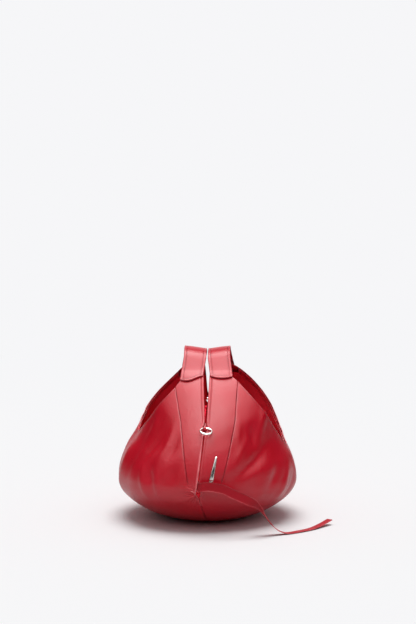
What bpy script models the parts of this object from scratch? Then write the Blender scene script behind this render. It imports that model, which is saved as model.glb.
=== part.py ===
"""A soft leather bag with two short handles, a front slit over a hidden zip, and a clip ring at each end.

Metres, +Z up. The origin is on the floor under the middle of the bag. The front end faces -Y.
"""

import math

import bmesh
import bpy
from mathutils import Matrix, Vector

# Shell: a tucked foot, a belly, and arcs that lean in above it
BELLY_HALF_WIDTH = 0.1155
BELLY_HALF_DEPTH = 0.112
SIDE_BELLY_HEIGHT = 0.050
END_BELLY_HEIGHT = 0.060
FOOT_HALF_WIDTH = 0.032
FOOT_HALF_DEPTH = 0.036
TUCK_POWER = 1.80
SIDE_ARC_RADIUS = 0.080
END_ARC_RADIUS = 0.160
SIDE_EASE = 0.040
LEFT_EASE_START = 0.100
RIGHT_EASE_START = 0.088
REAR_LEFT_FULLNESS = 0.011
REAR_RIGHT_FULLNESS = 0.002
REAR_FULL_HEIGHT = 0.118
REAR_FULL_SPAN = 0.036
STRIP_TOP = 0.196
LEFT_SHOULDER_HEIGHT = 0.179
RIGHT_SHOULDER_HEIGHT = 0.186
LEFT_RIM_LOW_HEIGHT = 0.112
RIGHT_RIM_LOW_HEIGHT = 0.095
RIM_STRAIGHT_SHARE = 1.15
REAR_LEFT_STRAIGHT_SHARE = 1.00
RIM_CORNER_SHARE = 0.08

# Leather, lining and the gaps between pieces
GAP = 0.0003
LEATHER = 0.0018
LINING = 0.0009
LINING_GAP = 0.0009
LINING_STEP = 0.0026
FACING = 0.0010
FACING_GAP = 0.0007
FACING_WIDTH = 0.007
LINING_FRONT_CLEARANCE = 0.0025
LINING_REAR_CLEARANCE = 0.0010

# Shares of the pull hole's height between which the lining's halves part
LINING_MEET_SHARE = 0.75
LINING_PART_SHARE = 0.95

# Strips beside the front slit
SEAM_HALF_WIDTH = 0.040
LEFT_SEAM_POWER = 0.72
RIGHT_SEAM_POWER = 0.20
SLIT_HALF_WIDTH = 0.0011
SLIT_SPREAD = 0.0033
HOLE_HALF_WIDTH = 0.0023
HOLE_SOFTNESS = 0.005
REAR_HOLE_SHARE = 1.4
SEAM_LEAN = 0.0095

# Rows of the shell's mesh
FOOT_ROWS = 3
PANEL_COLUMNS = 18
WALL_ROWS = 22
ROWS = FOOT_ROWS + WALL_ROWS
ROW_SPACING = 1.5
TIP_ROW = 7
PULL_HOLE_ROW = 9
RING_ROW = 17

# Handles
HANDLE_THICKNESS = 0.0024
HANDLE_CREST = 0.222
HANDLE_OVERLAP = 0.009
HANDLE_SEAT = 0.0009
HANDLE_INNER_BASE = 0.0050
HANDLE_INNER_CREST = 0.0010
HANDLE_WIDTH = 0.0290
HANDLE_TILT = 0.0015
HANDLE_LEAN_IN = 0.013
HANDLE_LEAN_UP = 0.011
HANDLE_CREST_SHARE = 0.62
HANDLE_TAB_SHARE = 0.20
HANDLE_COLUMNS = 20

# Rings and their loops
RING_RADIUS = 0.0074
WIRE_RADIUS = 0.0013
RING_DROOP = math.radians(19)
RING_TURN = math.radians(15)
LOOP_HALF_WIDTH = 0.0018
LOOP_THICKNESS = 0.0012
LOOP_CLEARANCE = 0.0013
LOOP_TAB = 0.0085
LOOP_COLUMNS = 36
WIRE_SIDES = 10
RING_STEPS = 28

# Zip
TEETH_PITCH = 0.0036
TOOTH_INNER = 0.0011
RAIL_INNER = 0.0020
TOOTH_OUTER = 0.0029
TEETH_DEPTH = 0.0039
TEETH_THICKNESS = 0.0018
TAPE_THICKNESS = 0.0005
TAPE_EDGE = 0.0100
TAPE_STEP = 0.0026
TAPE_SEAT = 0.00125
ZIP_TOP = 0.161
STOP_LENGTH = 0.0027
SLIDER_HALF_WIDTH = 0.0045
SLIDER_PLATE = 0.0011
SLIDER_LENGTH = 0.009
SLIDER_NECK = 0.0014
FIN_THICKNESS = 0.0011
SLIDER_REST_RISE = 0.0025
PULL_ROOT_RISE = 0.001

# The long leather pull
PULL_WIDTH = 0.012
PULL_THICKNESS = 0.0015
PULL_ROOT_SHARE = 0.12
PULL_TURN_START_SHARE = 0.38
PULL_TURN_STOP_SHARE = 0.54
PULL_LIFT = 0.0002
PULL_COLUMNS = 60

# Plain metal trim on the right strip
TRIM_LOW = 0.067
TRIM_HIGH = 0.099
TRIM_OFFSET = 0.0170
TRIM_LEAN = 0.003
TRIM_HALF_WIDTH = 0.0028
TRIM_TOP_SHARE = 0.45
TRIM_THICKNESS = 0.0016

SIDES = {"left": -1, "right": 1}
EASE_START = {-1: LEFT_EASE_START, 1: RIGHT_EASE_START}
REAR_FULLNESS = {-1: REAR_LEFT_FULLNESS, 1: REAR_RIGHT_FULLNESS}
SHOULDER_HEIGHT = {-1: LEFT_SHOULDER_HEIGHT, 1: RIGHT_SHOULDER_HEIGHT}
RIM_LOW_HEIGHT = {-1: LEFT_RIM_LOW_HEIGHT, 1: RIGHT_RIM_LOW_HEIGHT}
SEAM_POWER = {-1: LEFT_SEAM_POWER, 1: RIGHT_SEAM_POWER}
RED = (0.55, 0.035, 0.055)
DEEP_RED = (0.16, 0.006, 0.014)
SILVER = (0.72, 0.71, 0.68)


def clear_scene():
    for existing in list(bpy.data.objects):
        bpy.data.objects.remove(existing, do_unlink=True)


def make_material(name, colour, roughness, metallic=0.0):
    material = bpy.data.materials.new(name + "_finish")
    material.use_nodes = True
    shader = material.node_tree.nodes["Principled BSDF"]
    shader.inputs["Base Color"].default_value = (*colour, 1.0)
    shader.inputs["Roughness"].default_value = roughness
    shader.inputs["Metallic"].default_value = metallic
    material.diffuse_color = (*colour, 1.0)
    return material


def finish_object(name, mesh, colour, roughness, metallic=0.0):
    """Close the bmesh, point its faces outwards and link it as one named object."""
    bmesh.ops.remove_doubles(mesh, verts=mesh.verts[:], dist=1e-6)
    bmesh.ops.recalc_face_normals(mesh, faces=mesh.faces[:])
    data = bpy.data.meshes.new(name)
    mesh.to_mesh(data)
    mesh.free()
    data.shade_smooth()
    data.set_sharp_from_angle(angle=math.radians(40))
    data.materials.append(make_material(name, colour, roughness, metallic))
    made = bpy.data.objects.new(name, data)
    bpy.context.collection.objects.link(made)
    return made


def place_origin(made, point):
    """Move the object's origin to a point on its joint's axis, with the shape left where it is."""
    made.data.transform(Matrix.Translation(-point))
    made.location = point


# The shell


def tucked(height, belly, foot, reach):
    """Half the shell's size below the belly, where it tucks under to the flat foot."""
    drop = (belly - height) / belly
    return foot + (reach - foot) * (1.0 - drop**TUCK_POWER) ** (1.0 / TUCK_POWER)


def side_reach(height, side):
    if height < SIDE_BELLY_HEIGHT:
        return tucked(height, SIDE_BELLY_HEIGHT, FOOT_HALF_WIDTH, BELLY_HALF_WIDTH)
    start = EASE_START[side]
    climb = min(height, start) - SIDE_BELLY_HEIGHT
    level = math.sqrt(SIDE_ARC_RADIUS**2 - climb**2)
    reach = BELLY_HALF_WIDTH - SIDE_ARC_RADIUS + level
    run = min(max(height - start, 0.0), SIDE_EASE)
    return reach - climb / level * run * (1.0 - run / (2.0 * SIDE_EASE))


def end_reach(height):
    if height < END_BELLY_HEIGHT:
        return tucked(height, END_BELLY_HEIGHT, FOOT_HALF_DEPTH, BELLY_HALF_DEPTH)
    level = math.sqrt(END_ARC_RADIUS**2 - (height - END_BELLY_HEIGHT) ** 2)
    return level - (END_ARC_RADIUS - BELLY_HALF_DEPTH)


def row_height(row, top):
    """Height of a row of the wall, counted from the foot's edge."""
    return top * max(row / WALL_ROWS, 0.0) ** ROW_SPACING


RING_HEIGHT = row_height(RING_ROW, STRIP_TOP)
PULL_HOLE_HEIGHT = row_height(PULL_HOLE_ROW, STRIP_TOP)


def lean(height):
    """How far the slack front seam stands to the left of the middle."""
    if height > END_BELLY_HEIGHT:
        straight = RING_HEIGHT + RING_RADIUS
        return -SEAM_LEAN * max(straight - height, 0.0) / (straight - END_BELLY_HEIGHT)
    return -SEAM_LEAN * math.sin(height / END_BELLY_HEIGHT * math.pi / 2) ** 2


def shell_point(side, height, spread, angle):
    """A point of the outer face. The angle runs from the front end, over the side, to the rear end."""
    wide = side_reach(height, side) * spread if height > 0 else FOOT_HALF_WIDTH * spread
    deep = end_reach(height) * spread if height > 0 else FOOT_HALF_DEPTH * spread
    shift = lean(height) * max(-math.sin(angle), 0.0) ** 2
    full = math.exp(-(((height - REAR_FULL_HEIGHT) / REAR_FULL_SPAN) ** 2))
    shift += side * REAR_FULLNESS[side] * full * max(math.sin(2.0 * angle), 0.0) * spread
    return Vector((side * wide * math.cos(angle) + shift, deep * math.sin(angle), height))


def angle_at(side, height, distance):
    """The angle at which the shell is this far from its middle plane."""
    return math.acos(min(distance / side_reach(height, side), 1.0))


def seam_reach(side, height):
    """Distance of the strip's outer seam from the middle, narrowing to a tip under the bag."""
    top = SHOULDER_HEIGHT[side]
    tip = row_height(TIP_ROW, top)
    first = row_height(TIP_ROW + 1, top)

    def curve(at):
        return SEAM_HALF_WIDTH * ((at - tip) / (top - tip)) ** SEAM_POWER[side]

    if height <= tip:
        return 0.0
    if height < first:
        return curve(first) * (height - tip) / (first - tip)
    return curve(min(height, top))


def rim_height(side, share):
    """Height of the mouth's rim. The share is -1 at the front strips, 0 at the side and 1 at the rear."""
    soft = math.sqrt(share**2 + RIM_CORNER_SHARE**2) - RIM_CORNER_SHARE
    soft = soft / (math.sqrt(1.0 + RIM_CORNER_SHARE**2) - RIM_CORNER_SHARE)
    straight = REAR_LEFT_STRAIGHT_SHARE if share > 0 and side < 0 else RIM_STRAIGHT_SHARE
    rise = straight * soft + (1.0 - straight) * soft**2
    return RIM_LOW_HEIGHT[side] + (SHOULDER_HEIGHT[side] - RIM_LOW_HEIGHT[side]) * rise


def row_place(v, top):
    """(height, spread) at a share v of the way from the foot's middle to the rim."""
    row = v * ROWS
    if row < FOOT_ROWS:
        return 0.0, row / FOOT_ROWS
    return row_height(row - FOOT_ROWS, top), 1.0


def sheet_normal(place, u, v, facing):
    step = 1e-3
    u = min(max(u, step), 1.0 - step)
    v = min(max(v, 0.02), 1.0 - step)
    across = place(u + step, v) - place(u - step, v)
    along = place(u, v + step) - place(u, v - step)
    return across.cross(along).normalized() * facing


def slab(place, columns, rows, outer, inner, facing):
    """A closed bmesh: the sheet place(u, v), from the outer depth to the inner depth under its face."""
    mesh = bmesh.new()
    bmesh.ops.create_grid(mesh, x_segments=columns, y_segments=rows, size=0.5)
    raised = bmesh.ops.extrude_face_region(mesh, geom=mesh.faces[:])
    under = {item for item in raised["geom"] if isinstance(item, bmesh.types.BMVert)}
    for vert in mesh.verts:
        u, v = vert.co.x + 0.5, vert.co.y + 0.5
        depth = inner if vert in under else outer
        vert.co = place(u, v) - sheet_normal(place, u, v, facing) * depth
    return mesh


def make_panel(name, side):
    def place(u, v):
        top = rim_height(side, 2.0 * u - 1.0)
        height, spread = row_place(v, top)
        edge = angle_at(side, height, seam_reach(side, height))
        point = shell_point(side, height, spread, edge * (2.0 * u - 1.0))
        point.x += side * GAP / 2
        return point

    mesh = slab(place, PANEL_COLUMNS, ROWS, 0.0, LEATHER, side)
    return finish_object(name + "_panel", mesh, RED, 0.42)


def make_facing(name, side):
    def place(u, v):
        top = rim_height(side, 2.0 * u - 1.0)
        height = top - FACING_WIDTH * (1.0 - v)
        edge = angle_at(side, height, seam_reach(side, height))
        point = shell_point(side, height, 1.0, edge * (2.0 * u - 1.0))
        point.x += side * GAP / 2
        return point

    mesh = slab(place, PANEL_COLUMNS, 1, LEATHER + FACING_GAP, LEATHER + FACING_GAP + FACING, side)
    return finish_object(name + "_rim_facing", mesh, RED, 0.45)


def make_lining(name, side):
    """Half of the lining. Its front edge stands clear of the zip's tape."""

    def edge_angle(height, clearance):
        share = (height / PULL_HOLE_HEIGHT - LINING_MEET_SHARE) / (LINING_PART_SHARE - LINING_MEET_SHARE)
        share = min(max(share, 0.0), 1.0)
        return angle_at(side, height, GAP / 2 + clearance * share)

    def lining_top(angle):
        """Height of the facing's lower edge at an angle, found by closing in on the panel's own share."""
        top = SHOULDER_HEIGHT[side]
        for _ in range(6):
            share = angle / angle_at(side, top, seam_reach(side, top))
            top = rim_height(side, min(max(share, -1.0), 1.0))
        return top - FACING_WIDTH - LINING_STEP

    def place(u, v):
        turn = 2.0 * u - 1.0
        clearance = LOOP_HALF_WIDTH + LINING_REAR_CLEARANCE
        if turn < 0:
            clearance = TAPE_EDGE + LINING_FRONT_CLEARANCE
        top = lining_top(edge_angle(RING_HEIGHT, clearance) * turn)
        height, spread = row_place(v, top)
        point = shell_point(side, height, spread, edge_angle(height, clearance) * turn)
        point.x += side * GAP / 2
        return point

    depth = LEATHER + LINING_GAP
    mesh = slab(place, PANEL_COLUMNS, ROWS, depth, depth + LINING, side)
    return finish_object(name + "_lining", mesh, DEEP_RED, 0.7)


def slit_edge(height, front):
    """Half the gap between the two strips of an end."""
    ring_hole = HOLE_HALF_WIDTH * math.exp(-(((height - RING_HEIGHT) / HOLE_SOFTNESS) ** 2))
    above = max(height - RING_HEIGHT, 0.0)
    spread = SLIT_SPREAD * above / (STRIP_TOP - RING_HEIGHT)
    if not front:
        spread += SLIT_HALF_WIDTH * min(above / HOLE_SOFTNESS, 1.0)
        return GAP / 2 + spread + ring_hole * REAR_HOLE_SHARE
    if height < PULL_HOLE_HEIGHT - HOLE_SOFTNESS:
        return GAP / 2
    pull_hole = HOLE_HALF_WIDTH * math.exp(-(((height - PULL_HOLE_HEIGHT) / HOLE_SOFTNESS) ** 2))
    return SLIT_HALF_WIDTH + spread + ring_hole + pull_hole


def make_strip(end, name, side):
    front = end == "front"
    rows = WALL_ROWS - TIP_ROW

    def place(u, v):
        row = max(TIP_ROW + v * rows, TIP_ROW + 0.05)
        top = STRIP_TOP + (SHOULDER_HEIGHT[side] - STRIP_TOP) * u**3
        height = row_height(row, top)
        inner = slit_edge(height, front)
        outer = seam_reach(side, height) - GAP / 2
        distance = inner + (max(outer, inner + GAP / 2) - inner) * u
        angle = angle_at(side, height, distance)
        return shell_point(side, height, 1.0, -angle if front else angle)

    facing = side if front else -side
    mesh = slab(place, 5, rows, 0.0, LEATHER, facing)
    return finish_object(end + "_" + name + "_strip", mesh, RED, 0.42)


# Handles


def handle_line(share):
    """(y, z) of the handle's inner face: up the outside of the front strip, over the crest, down the rear."""
    near = 1.0 - abs(2.0 * share - 1.0)
    sign = -1.0 if share <= 0.5 else 1.0
    tab = HANDLE_TAB_SHARE
    if near < tab:
        height = STRIP_TOP - HANDLE_OVERLAP * (1.0 - near / tab)
        return sign * (end_reach(height) + HANDLE_SEAT), height
    t = (near - tab) / (1.0 - tab)
    base = end_reach(STRIP_TOP) + HANDLE_SEAT
    points = (
        (base, STRIP_TOP),
        (base - HANDLE_LEAN_IN, STRIP_TOP + HANDLE_LEAN_UP),
        (base * HANDLE_CREST_SHARE, HANDLE_CREST - HANDLE_THICKNESS),
        (0.0, HANDLE_CREST - HANDLE_THICKNESS),
    )
    weights = ((1 - t) ** 3, 3 * t * (1 - t) ** 2, 3 * t * t * (1 - t), t**3)
    y = sum(weight * point[0] for weight, point in zip(weights, points))
    z = sum(weight * point[1] for weight, point in zip(weights, points))
    return sign * y, z


def make_handle(name, side):
    def place(u, v):
        y, z = handle_line(u)
        rise = min((z - STRIP_TOP + HANDLE_OVERLAP) / (HANDLE_CREST - STRIP_TOP), 1.0)
        inner = HANDLE_INNER_BASE + (HANDLE_INNER_CREST - HANDLE_INNER_BASE) * rise
        x = inner + HANDLE_WIDTH * v
        wide = side_reach(STRIP_TOP, side)
        sag = abs(end_reach(min(z, STRIP_TOP))) * (1.0 - math.sqrt(1.0 - (x / wide) ** 2)) * (1.0 - rise)
        y -= math.copysign(sag, y)
        z += HANDLE_TILT * (2.0 * v - 1.0) * rise
        return Vector((side * x, y, z))

    mesh = slab(place, HANDLE_COLUMNS, 3, 0.0, -HANDLE_THICKNESS, -side)
    return finish_object(name + "_handle", mesh, RED, 0.42)


# Rings and loops


def seam_frame(height, front):
    """(point, outward, upward, sideways) on the middle seam of an end."""
    end = -1.0 if front else 1.0
    point = Vector((lean(height) if front else 0.0, end * end_reach(height), height))
    rise = height - END_BELLY_HEIGHT
    level = end_reach(height) + END_ARC_RADIUS - BELLY_HALF_DEPTH
    outward = Vector((0.0, end * level, rise)).normalized()
    sideways = Vector((-end, 0.0, 0.0))
    return point, outward, outward.cross(sideways), sideways


def smooth_point(points, share):
    """A point on the smooth curve through the given points."""
    at = share * (len(points) - 1)
    low = min(int(at), len(points) - 2)
    t = at - low
    before = points[max(low - 1, 0)]
    start, stop = points[low], points[low + 1]
    after = points[min(low + 2, len(points) - 1)]
    return 0.5 * (
        2 * start
        + (stop - before) * t
        + (2 * before - 5 * start + 4 * stop - after) * t * t
        + (3 * start - before - 3 * stop + after) * t**3
    )


def make_loop(end):
    """A leather band with its tabs behind the strips and its eye out of the hole, round the ring."""
    front = end == "front"
    point, outward, upward, sideways = seam_frame(RING_HEIGHT, front)
    eye = WIRE_RADIUS + LOOP_CLEARANCE + LOOP_THICKNESS / 2
    centre = ring_stand_off()
    tab = LEATHER + GAP + LOOP_THICKNESS / 2 + GAP
    half = [
        Vector((-tab, LOOP_TAB)),
        Vector((-tab, LOOP_TAB * 0.5)),
        Vector((-tab * 0.7, eye * 1.15)),
        Vector((0.0, eye * 0.95)),
        Vector((centre, eye)),
        Vector((centre + eye * 0.71, eye * 0.71)),
    ]
    points = half + [Vector((centre + eye, 0.0))] + [Vector((p.x, -p.y)) for p in reversed(half)]

    def place(u, v):
        where = smooth_point(points, u)
        return point + outward * where.x + upward * where.y + sideways * LOOP_HALF_WIDTH * (2.0 * v - 1.0)

    mesh = slab(place, LOOP_COLUMNS, 1, -LOOP_THICKNESS / 2, LOOP_THICKNESS / 2, 1)
    return finish_object(end + "_ring_loop", mesh, RED, 0.45)


def ring_stand_off():
    """How far the ring's wire, where the loop holds it, stands out of the strips."""
    return WIRE_RADIUS + LOOP_THICKNESS / 2 + GAP


def ring_pivot(front):
    point, outward, _, _ = seam_frame(RING_HEIGHT, front)
    return point + outward * ring_stand_off()


def make_ring(end):
    """A wire ring that stands out of its loop, drooping and turned a little to one side."""
    front = end == "front"
    pivot = ring_pivot(front)
    level = Vector((math.sin(RING_TURN), -math.cos(RING_TURN), 0.0)) * (1.0 if front else -1.0)
    out = level * math.cos(RING_DROOP) - Vector((0.0, 0.0, math.sin(RING_DROOP)))
    centre = pivot + out * RING_RADIUS
    tangent = level.cross(Vector((0.0, 0.0, 1.0)))
    axis = out.cross(tangent)
    mesh = bmesh.new()
    bmesh.ops.create_circle(mesh, cap_ends=False, segments=WIRE_SIDES, radius=WIRE_RADIUS)
    turn = Matrix((out, axis, tangent)).transposed().to_4x4()
    place = Matrix.Translation(pivot + out * 2 * RING_RADIUS) @ turn
    bmesh.ops.transform(mesh, matrix=place, verts=mesh.verts[:])
    bmesh.ops.spin(
        mesh,
        geom=mesh.verts[:] + mesh.edges[:],
        cent=centre,
        axis=axis,
        angle=2 * math.pi,
        steps=RING_STEPS,
        use_merge=True,
    )
    made = finish_object(end + "_ring", mesh, SILVER, 0.12, 1.0)
    place_origin(made, pivot)
    return made


# Zip: every piece is a section turned about the slider's axis, which follows the slit


ZIP_TILT = math.atan2(-lean(END_BELLY_HEIGHT) + lean(RING_HEIGHT), RING_HEIGHT - END_BELLY_HEIGHT)
ZIP_UP = Vector((math.sin(ZIP_TILT), 0.0, math.cos(ZIP_TILT)))
ZIP_AXIS = Vector((math.cos(ZIP_TILT), 0.0, -math.sin(ZIP_TILT)))
ZIP_CENTRE = Vector((lean(END_BELLY_HEIGHT), END_ARC_RADIUS - BELLY_HALF_DEPTH, END_BELLY_HEIGHT))
SLIDER_REST = END_BELLY_HEIGHT + SLIDER_REST_RISE
PULL_ROOT = END_BELLY_HEIGHT + PULL_ROOT_RISE


def zip_angle(height):
    """Angle above the belly of a height on the slit."""
    return math.asin((height - END_BELLY_HEIGHT) / (END_ARC_RADIUS * math.cos(ZIP_TILT)))


def zip_point(sideways, depth, angle):
    reach = END_ARC_RADIUS - depth
    out = Vector((0.0, -math.cos(angle), 0.0)) + ZIP_UP * math.sin(angle)
    return ZIP_CENTRE + out * reach + ZIP_AXIS * sideways


def turned_section(mesh, section, low, high, steps):
    """Turn a flat section of (sideways, depth) points from one angle to another about the zip's axis."""
    verts = [mesh.verts.new(zip_point(sideways, depth, low)) for sideways, depth in section]
    face = mesh.faces.new(verts)
    bottom = mesh.faces.new([mesh.verts.new(vert.co) for vert in verts])
    bmesh.ops.spin(
        mesh,
        geom=[face, *face.edges, *verts],
        cent=ZIP_CENTRE,
        axis=ZIP_AXIS,
        angle=low - high,
        steps=steps,
    )
    return bottom


def make_tape(name, side):
    back = TEETH_DEPTH + TEETH_THICKNESS / 2 + TAPE_THICKNESS / 2
    inner = TOOTH_OUTER + GAP

    def wing(distance):
        """Depth of the tape's wing: deeper on the left, where the tilted zip would meet the strip."""
        return LEATHER + TAPE_SEAT + max(-side * distance * math.sin(ZIP_TILT) / 2, 0.0)

    section = [
        (inner, back - TAPE_THICKNESS),
        (inner + TAPE_STEP, back - TAPE_THICKNESS),
        (inner + 1.7 * TAPE_STEP, wing(inner + 1.7 * TAPE_STEP)),
        (TAPE_EDGE, wing(TAPE_EDGE)),
        (TAPE_EDGE, wing(TAPE_EDGE) + TAPE_THICKNESS),
        (inner + 1.8 * TAPE_STEP, wing(inner + 1.8 * TAPE_STEP) + TAPE_THICKNESS),
        (inner + 1.15 * TAPE_STEP, back),
        (inner, back),
    ]
    mesh = bmesh.new()
    low = zip_angle(PULL_HOLE_HEIGHT + 0.0025)
    turned_section(mesh, [(side * s, d) for s, d in section], low, zip_angle(ZIP_TOP), 12)
    return finish_object("zip_" + name + "_tape", mesh, DEEP_RED, 0.8)


def block(inner, outer, depth, thickness):
    return [(inner, depth), (outer, depth), (outer, depth + thickness), (inner, depth + thickness)]


def make_teeth(name, side):
    """A row of teeth on one rail, as a moulded zip has."""
    mesh = bmesh.new()
    pitch = TEETH_PITCH / END_ARC_RADIUS
    start = zip_angle(SLIDER_REST) - SLIDER_LENGTH / 2 / END_ARC_RADIUS
    start += pitch / 4 * (1 + side)
    count = int((zip_angle(ZIP_TOP) - start) / pitch) - 1
    section = block(side * RAIL_INNER, side * TOOTH_OUTER, TEETH_DEPTH, TEETH_THICKNESS)
    turned_section(mesh, section, start, start + count * pitch, 2 * count)
    bmesh.ops.remove_doubles(mesh, verts=mesh.verts[:], dist=1e-6)

    def sideways(face):
        return (face.calc_center_median() - ZIP_CENTRE).dot(ZIP_AXIS)

    inner_faces = [face for face in mesh.faces if abs(sideways(face) - side * RAIL_INNER) < 1e-5]
    inner_faces.sort(key=lambda face: face.calc_center_median().z)
    pulled = bmesh.ops.extrude_discrete_faces(mesh, faces=inner_faces[::2])
    tips = {vert for face in pulled["faces"] for vert in face.verts}
    bmesh.ops.translate(mesh, verts=list(tips), vec=ZIP_AXIS * side * (TOOTH_INNER - RAIL_INNER))
    return finish_object("zip_" + name + "_teeth", mesh, SILVER, 0.35, 1.0)


def make_stop(name, section, low, high):
    mesh = bmesh.new()
    turned_section(mesh, section, low, high, 1)
    return finish_object(name, mesh, SILVER, 0.35, 1.0)


def make_stops():
    high = zip_angle(ZIP_TOP)
    length = STOP_LENGTH / END_ARC_RADIUS
    for name, side in SIDES.items():
        section = block(side * TOOTH_INNER, side * TOOTH_OUTER, TEETH_DEPTH - GAP, TEETH_THICKNESS + 2 * GAP)
        make_stop("zip_" + name + "_top_stop", section, high - length, high)
    high = zip_angle(SLIDER_REST) - (SLIDER_LENGTH / 2 + GAP) / END_ARC_RADIUS
    section = block(-TOOTH_OUTER, TOOTH_OUTER, TEETH_DEPTH, TEETH_THICKNESS)
    make_stop("zip_bottom_stop", section, high - length, high)


def make_slider():
    """Two plates with a neck between the rows of teeth, and a thin fin that stands in the slit."""
    plate_in = TEETH_DEPTH - GAP
    back = TEETH_DEPTH + TEETH_THICKNESS + GAP
    neck = SLIDER_NECK / 2
    fin = FIN_THICKNESS / 2
    half = [
        (fin, GAP),
        (fin, plate_in - SLIDER_PLATE),
        (SLIDER_HALF_WIDTH, plate_in - SLIDER_PLATE),
        (SLIDER_HALF_WIDTH, plate_in),
        (neck, plate_in),
        (neck, back),
        (SLIDER_HALF_WIDTH, back),
        (SLIDER_HALF_WIDTH, back + SLIDER_PLATE),
    ]
    section = half + [(-s, d) for s, d in reversed(half)]
    middle = zip_angle(SLIDER_REST)
    length = SLIDER_LENGTH / 2 / END_ARC_RADIUS
    mesh = bmesh.new()
    turned_section(mesh, section, middle - length, middle + length, 2)
    made = finish_object("zip_slider", mesh, SILVER, 0.3, 1.0)
    place_origin(made, ZIP_CENTRE.copy())
    return made


def make_pull():
    """The long leather pull: out of the slit on edge, round to the right, down, and along the floor."""
    root = zip_point(0.0, 0.0, zip_angle(PULL_ROOT))
    lie = PULL_THICKNESS / 2 + PULL_LIFT
    route = [
        root,
        root + Vector((0.0, -0.0050, 0.0)),
        root + Vector((0.0042, -0.0098, 0.0012)),
        Vector((0.0050, -0.1225, 0.0632)),
        Vector((0.0230, -0.1245, 0.0605)),
        Vector((0.0364, -0.1255, 0.0545)),
        Vector((0.0540, -0.1250, 0.0465)),
        Vector((0.0676, -0.1240, 0.0380)),
        Vector((0.0785, -0.1220, 0.0225)),
        Vector((0.0870, -0.1195, 0.0110)),
        Vector((0.0960, -0.1170, 0.0040)),
        Vector((0.1060, -0.1130, lie)),
        Vector((0.1200, -0.1030, lie)),
        Vector((0.1355, -0.0890, 0.0012)),
        Vector((0.1480, -0.0725, 0.0030)),
        Vector((0.1600, -0.0560, 0.0062)),
    ]

    def width_direction(u):
        step = 1e-3
        ahead = smooth_point(route, min(u + step, 1.0)) - smooth_point(route, max(u - step, 0.0))
        ahead.normalize()
        flat = ahead.cross(Vector((0.0, 0.0, 1.0))).normalized()
        upright = flat.cross(ahead).normalized()
        share = (u - PULL_TURN_START_SHARE) / (PULL_TURN_STOP_SHARE - PULL_TURN_START_SHARE)
        share = min(max(share, 0.0), 1.0)
        turn = share * share * (3.0 - 2.0 * share) * math.pi / 2
        upright = ZIP_UP.lerp(upright, min(u / PULL_ROOT_SHARE, 1.0)).normalized()
        return upright * math.cos(turn) + flat * math.sin(turn)

    def place(u, v):
        return smooth_point(route, u) + width_direction(u) * PULL_WIDTH * (v - 0.5)

    mesh = slab(place, PULL_COLUMNS, 1, -PULL_THICKNESS / 2, PULL_THICKNESS / 2, 1)
    made = finish_object("zip_pull", mesh, RED, 0.42)
    place_origin(made, ZIP_CENTRE.copy())
    return made


def make_trim():
    """A plain tapered metal bar that follows the right strip."""

    def place(u, v):
        height = TRIM_LOW + (TRIM_HIGH - TRIM_LOW) * v
        half = TRIM_HALF_WIDTH * (1.0 - (1.0 - TRIM_TOP_SHARE) * v)
        distance = TRIM_OFFSET + TRIM_LEAN * (v - 0.5) + half * (2.0 * u - 1.0)
        return shell_point(1, height, 1.0, -angle_at(1, height, distance))

    mesh = slab(place, 2, 8, -GAP - TRIM_THICKNESS, -GAP, 1)
    return finish_object("trim_bar", mesh, SILVER, 0.2, 1.0)


def build_bag():
    clear_scene()
    for name, side in SIDES.items():
        make_panel(name, side)
        make_facing(name, side)
        make_lining(name, side)
        make_handle(name, side)
        make_tape(name, side)
        make_teeth(name, side)
        for end in ("front", "rear"):
            make_strip(end, name, side)
    for end in ("front", "rear"):
        make_loop(end)
        make_ring(end)
    make_stops()
    make_slider()
    make_pull()
    make_trim()


build_bag()
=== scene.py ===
"""Dresses a soft leather bag on its frame: leather shell, rims, handles, lining, pull, rings, zip and stage.

Metres, +Z up. The front end faces -Y. The shape functions repeat the frame's own, so each piece lies on it.
"""

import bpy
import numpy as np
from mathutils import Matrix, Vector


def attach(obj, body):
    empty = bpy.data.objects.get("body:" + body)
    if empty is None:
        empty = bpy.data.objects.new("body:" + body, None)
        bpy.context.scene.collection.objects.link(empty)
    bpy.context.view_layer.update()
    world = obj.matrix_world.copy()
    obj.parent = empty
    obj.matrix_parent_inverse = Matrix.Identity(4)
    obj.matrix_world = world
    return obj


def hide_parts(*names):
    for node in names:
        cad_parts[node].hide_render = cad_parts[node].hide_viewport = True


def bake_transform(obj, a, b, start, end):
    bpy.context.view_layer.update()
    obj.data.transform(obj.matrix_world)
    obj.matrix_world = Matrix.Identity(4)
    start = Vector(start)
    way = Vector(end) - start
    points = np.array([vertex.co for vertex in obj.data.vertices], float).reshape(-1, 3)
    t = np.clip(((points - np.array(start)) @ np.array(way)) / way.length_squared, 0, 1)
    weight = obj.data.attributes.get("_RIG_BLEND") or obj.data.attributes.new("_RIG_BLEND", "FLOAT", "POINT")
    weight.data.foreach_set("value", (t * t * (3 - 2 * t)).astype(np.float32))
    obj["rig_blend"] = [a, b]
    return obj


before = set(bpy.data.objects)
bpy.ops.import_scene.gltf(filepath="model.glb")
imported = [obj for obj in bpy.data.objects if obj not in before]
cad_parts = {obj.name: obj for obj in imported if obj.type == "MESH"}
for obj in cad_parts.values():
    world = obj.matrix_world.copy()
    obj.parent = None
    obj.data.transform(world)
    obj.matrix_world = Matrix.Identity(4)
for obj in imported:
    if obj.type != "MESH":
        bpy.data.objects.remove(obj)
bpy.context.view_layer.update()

import math

import bmesh
import bpy
import numpy as np
from bpy.props import FloatProperty, FloatVectorProperty, PointerProperty
from bpy.types import Operator, Panel, PropertyGroup
from mathutils import Matrix, Vector

bl_info = {
    "name": "Soft leather bag",
    "version": (1, 0, 0),
    "blender": (4, 5, 0),
    "location": "3D View > Sidebar > Bag",
    "description": "Dresses a bag's frame with leather, lining, stitching, zip, rings and a pale stage",
    "category": "Object",
}

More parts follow.
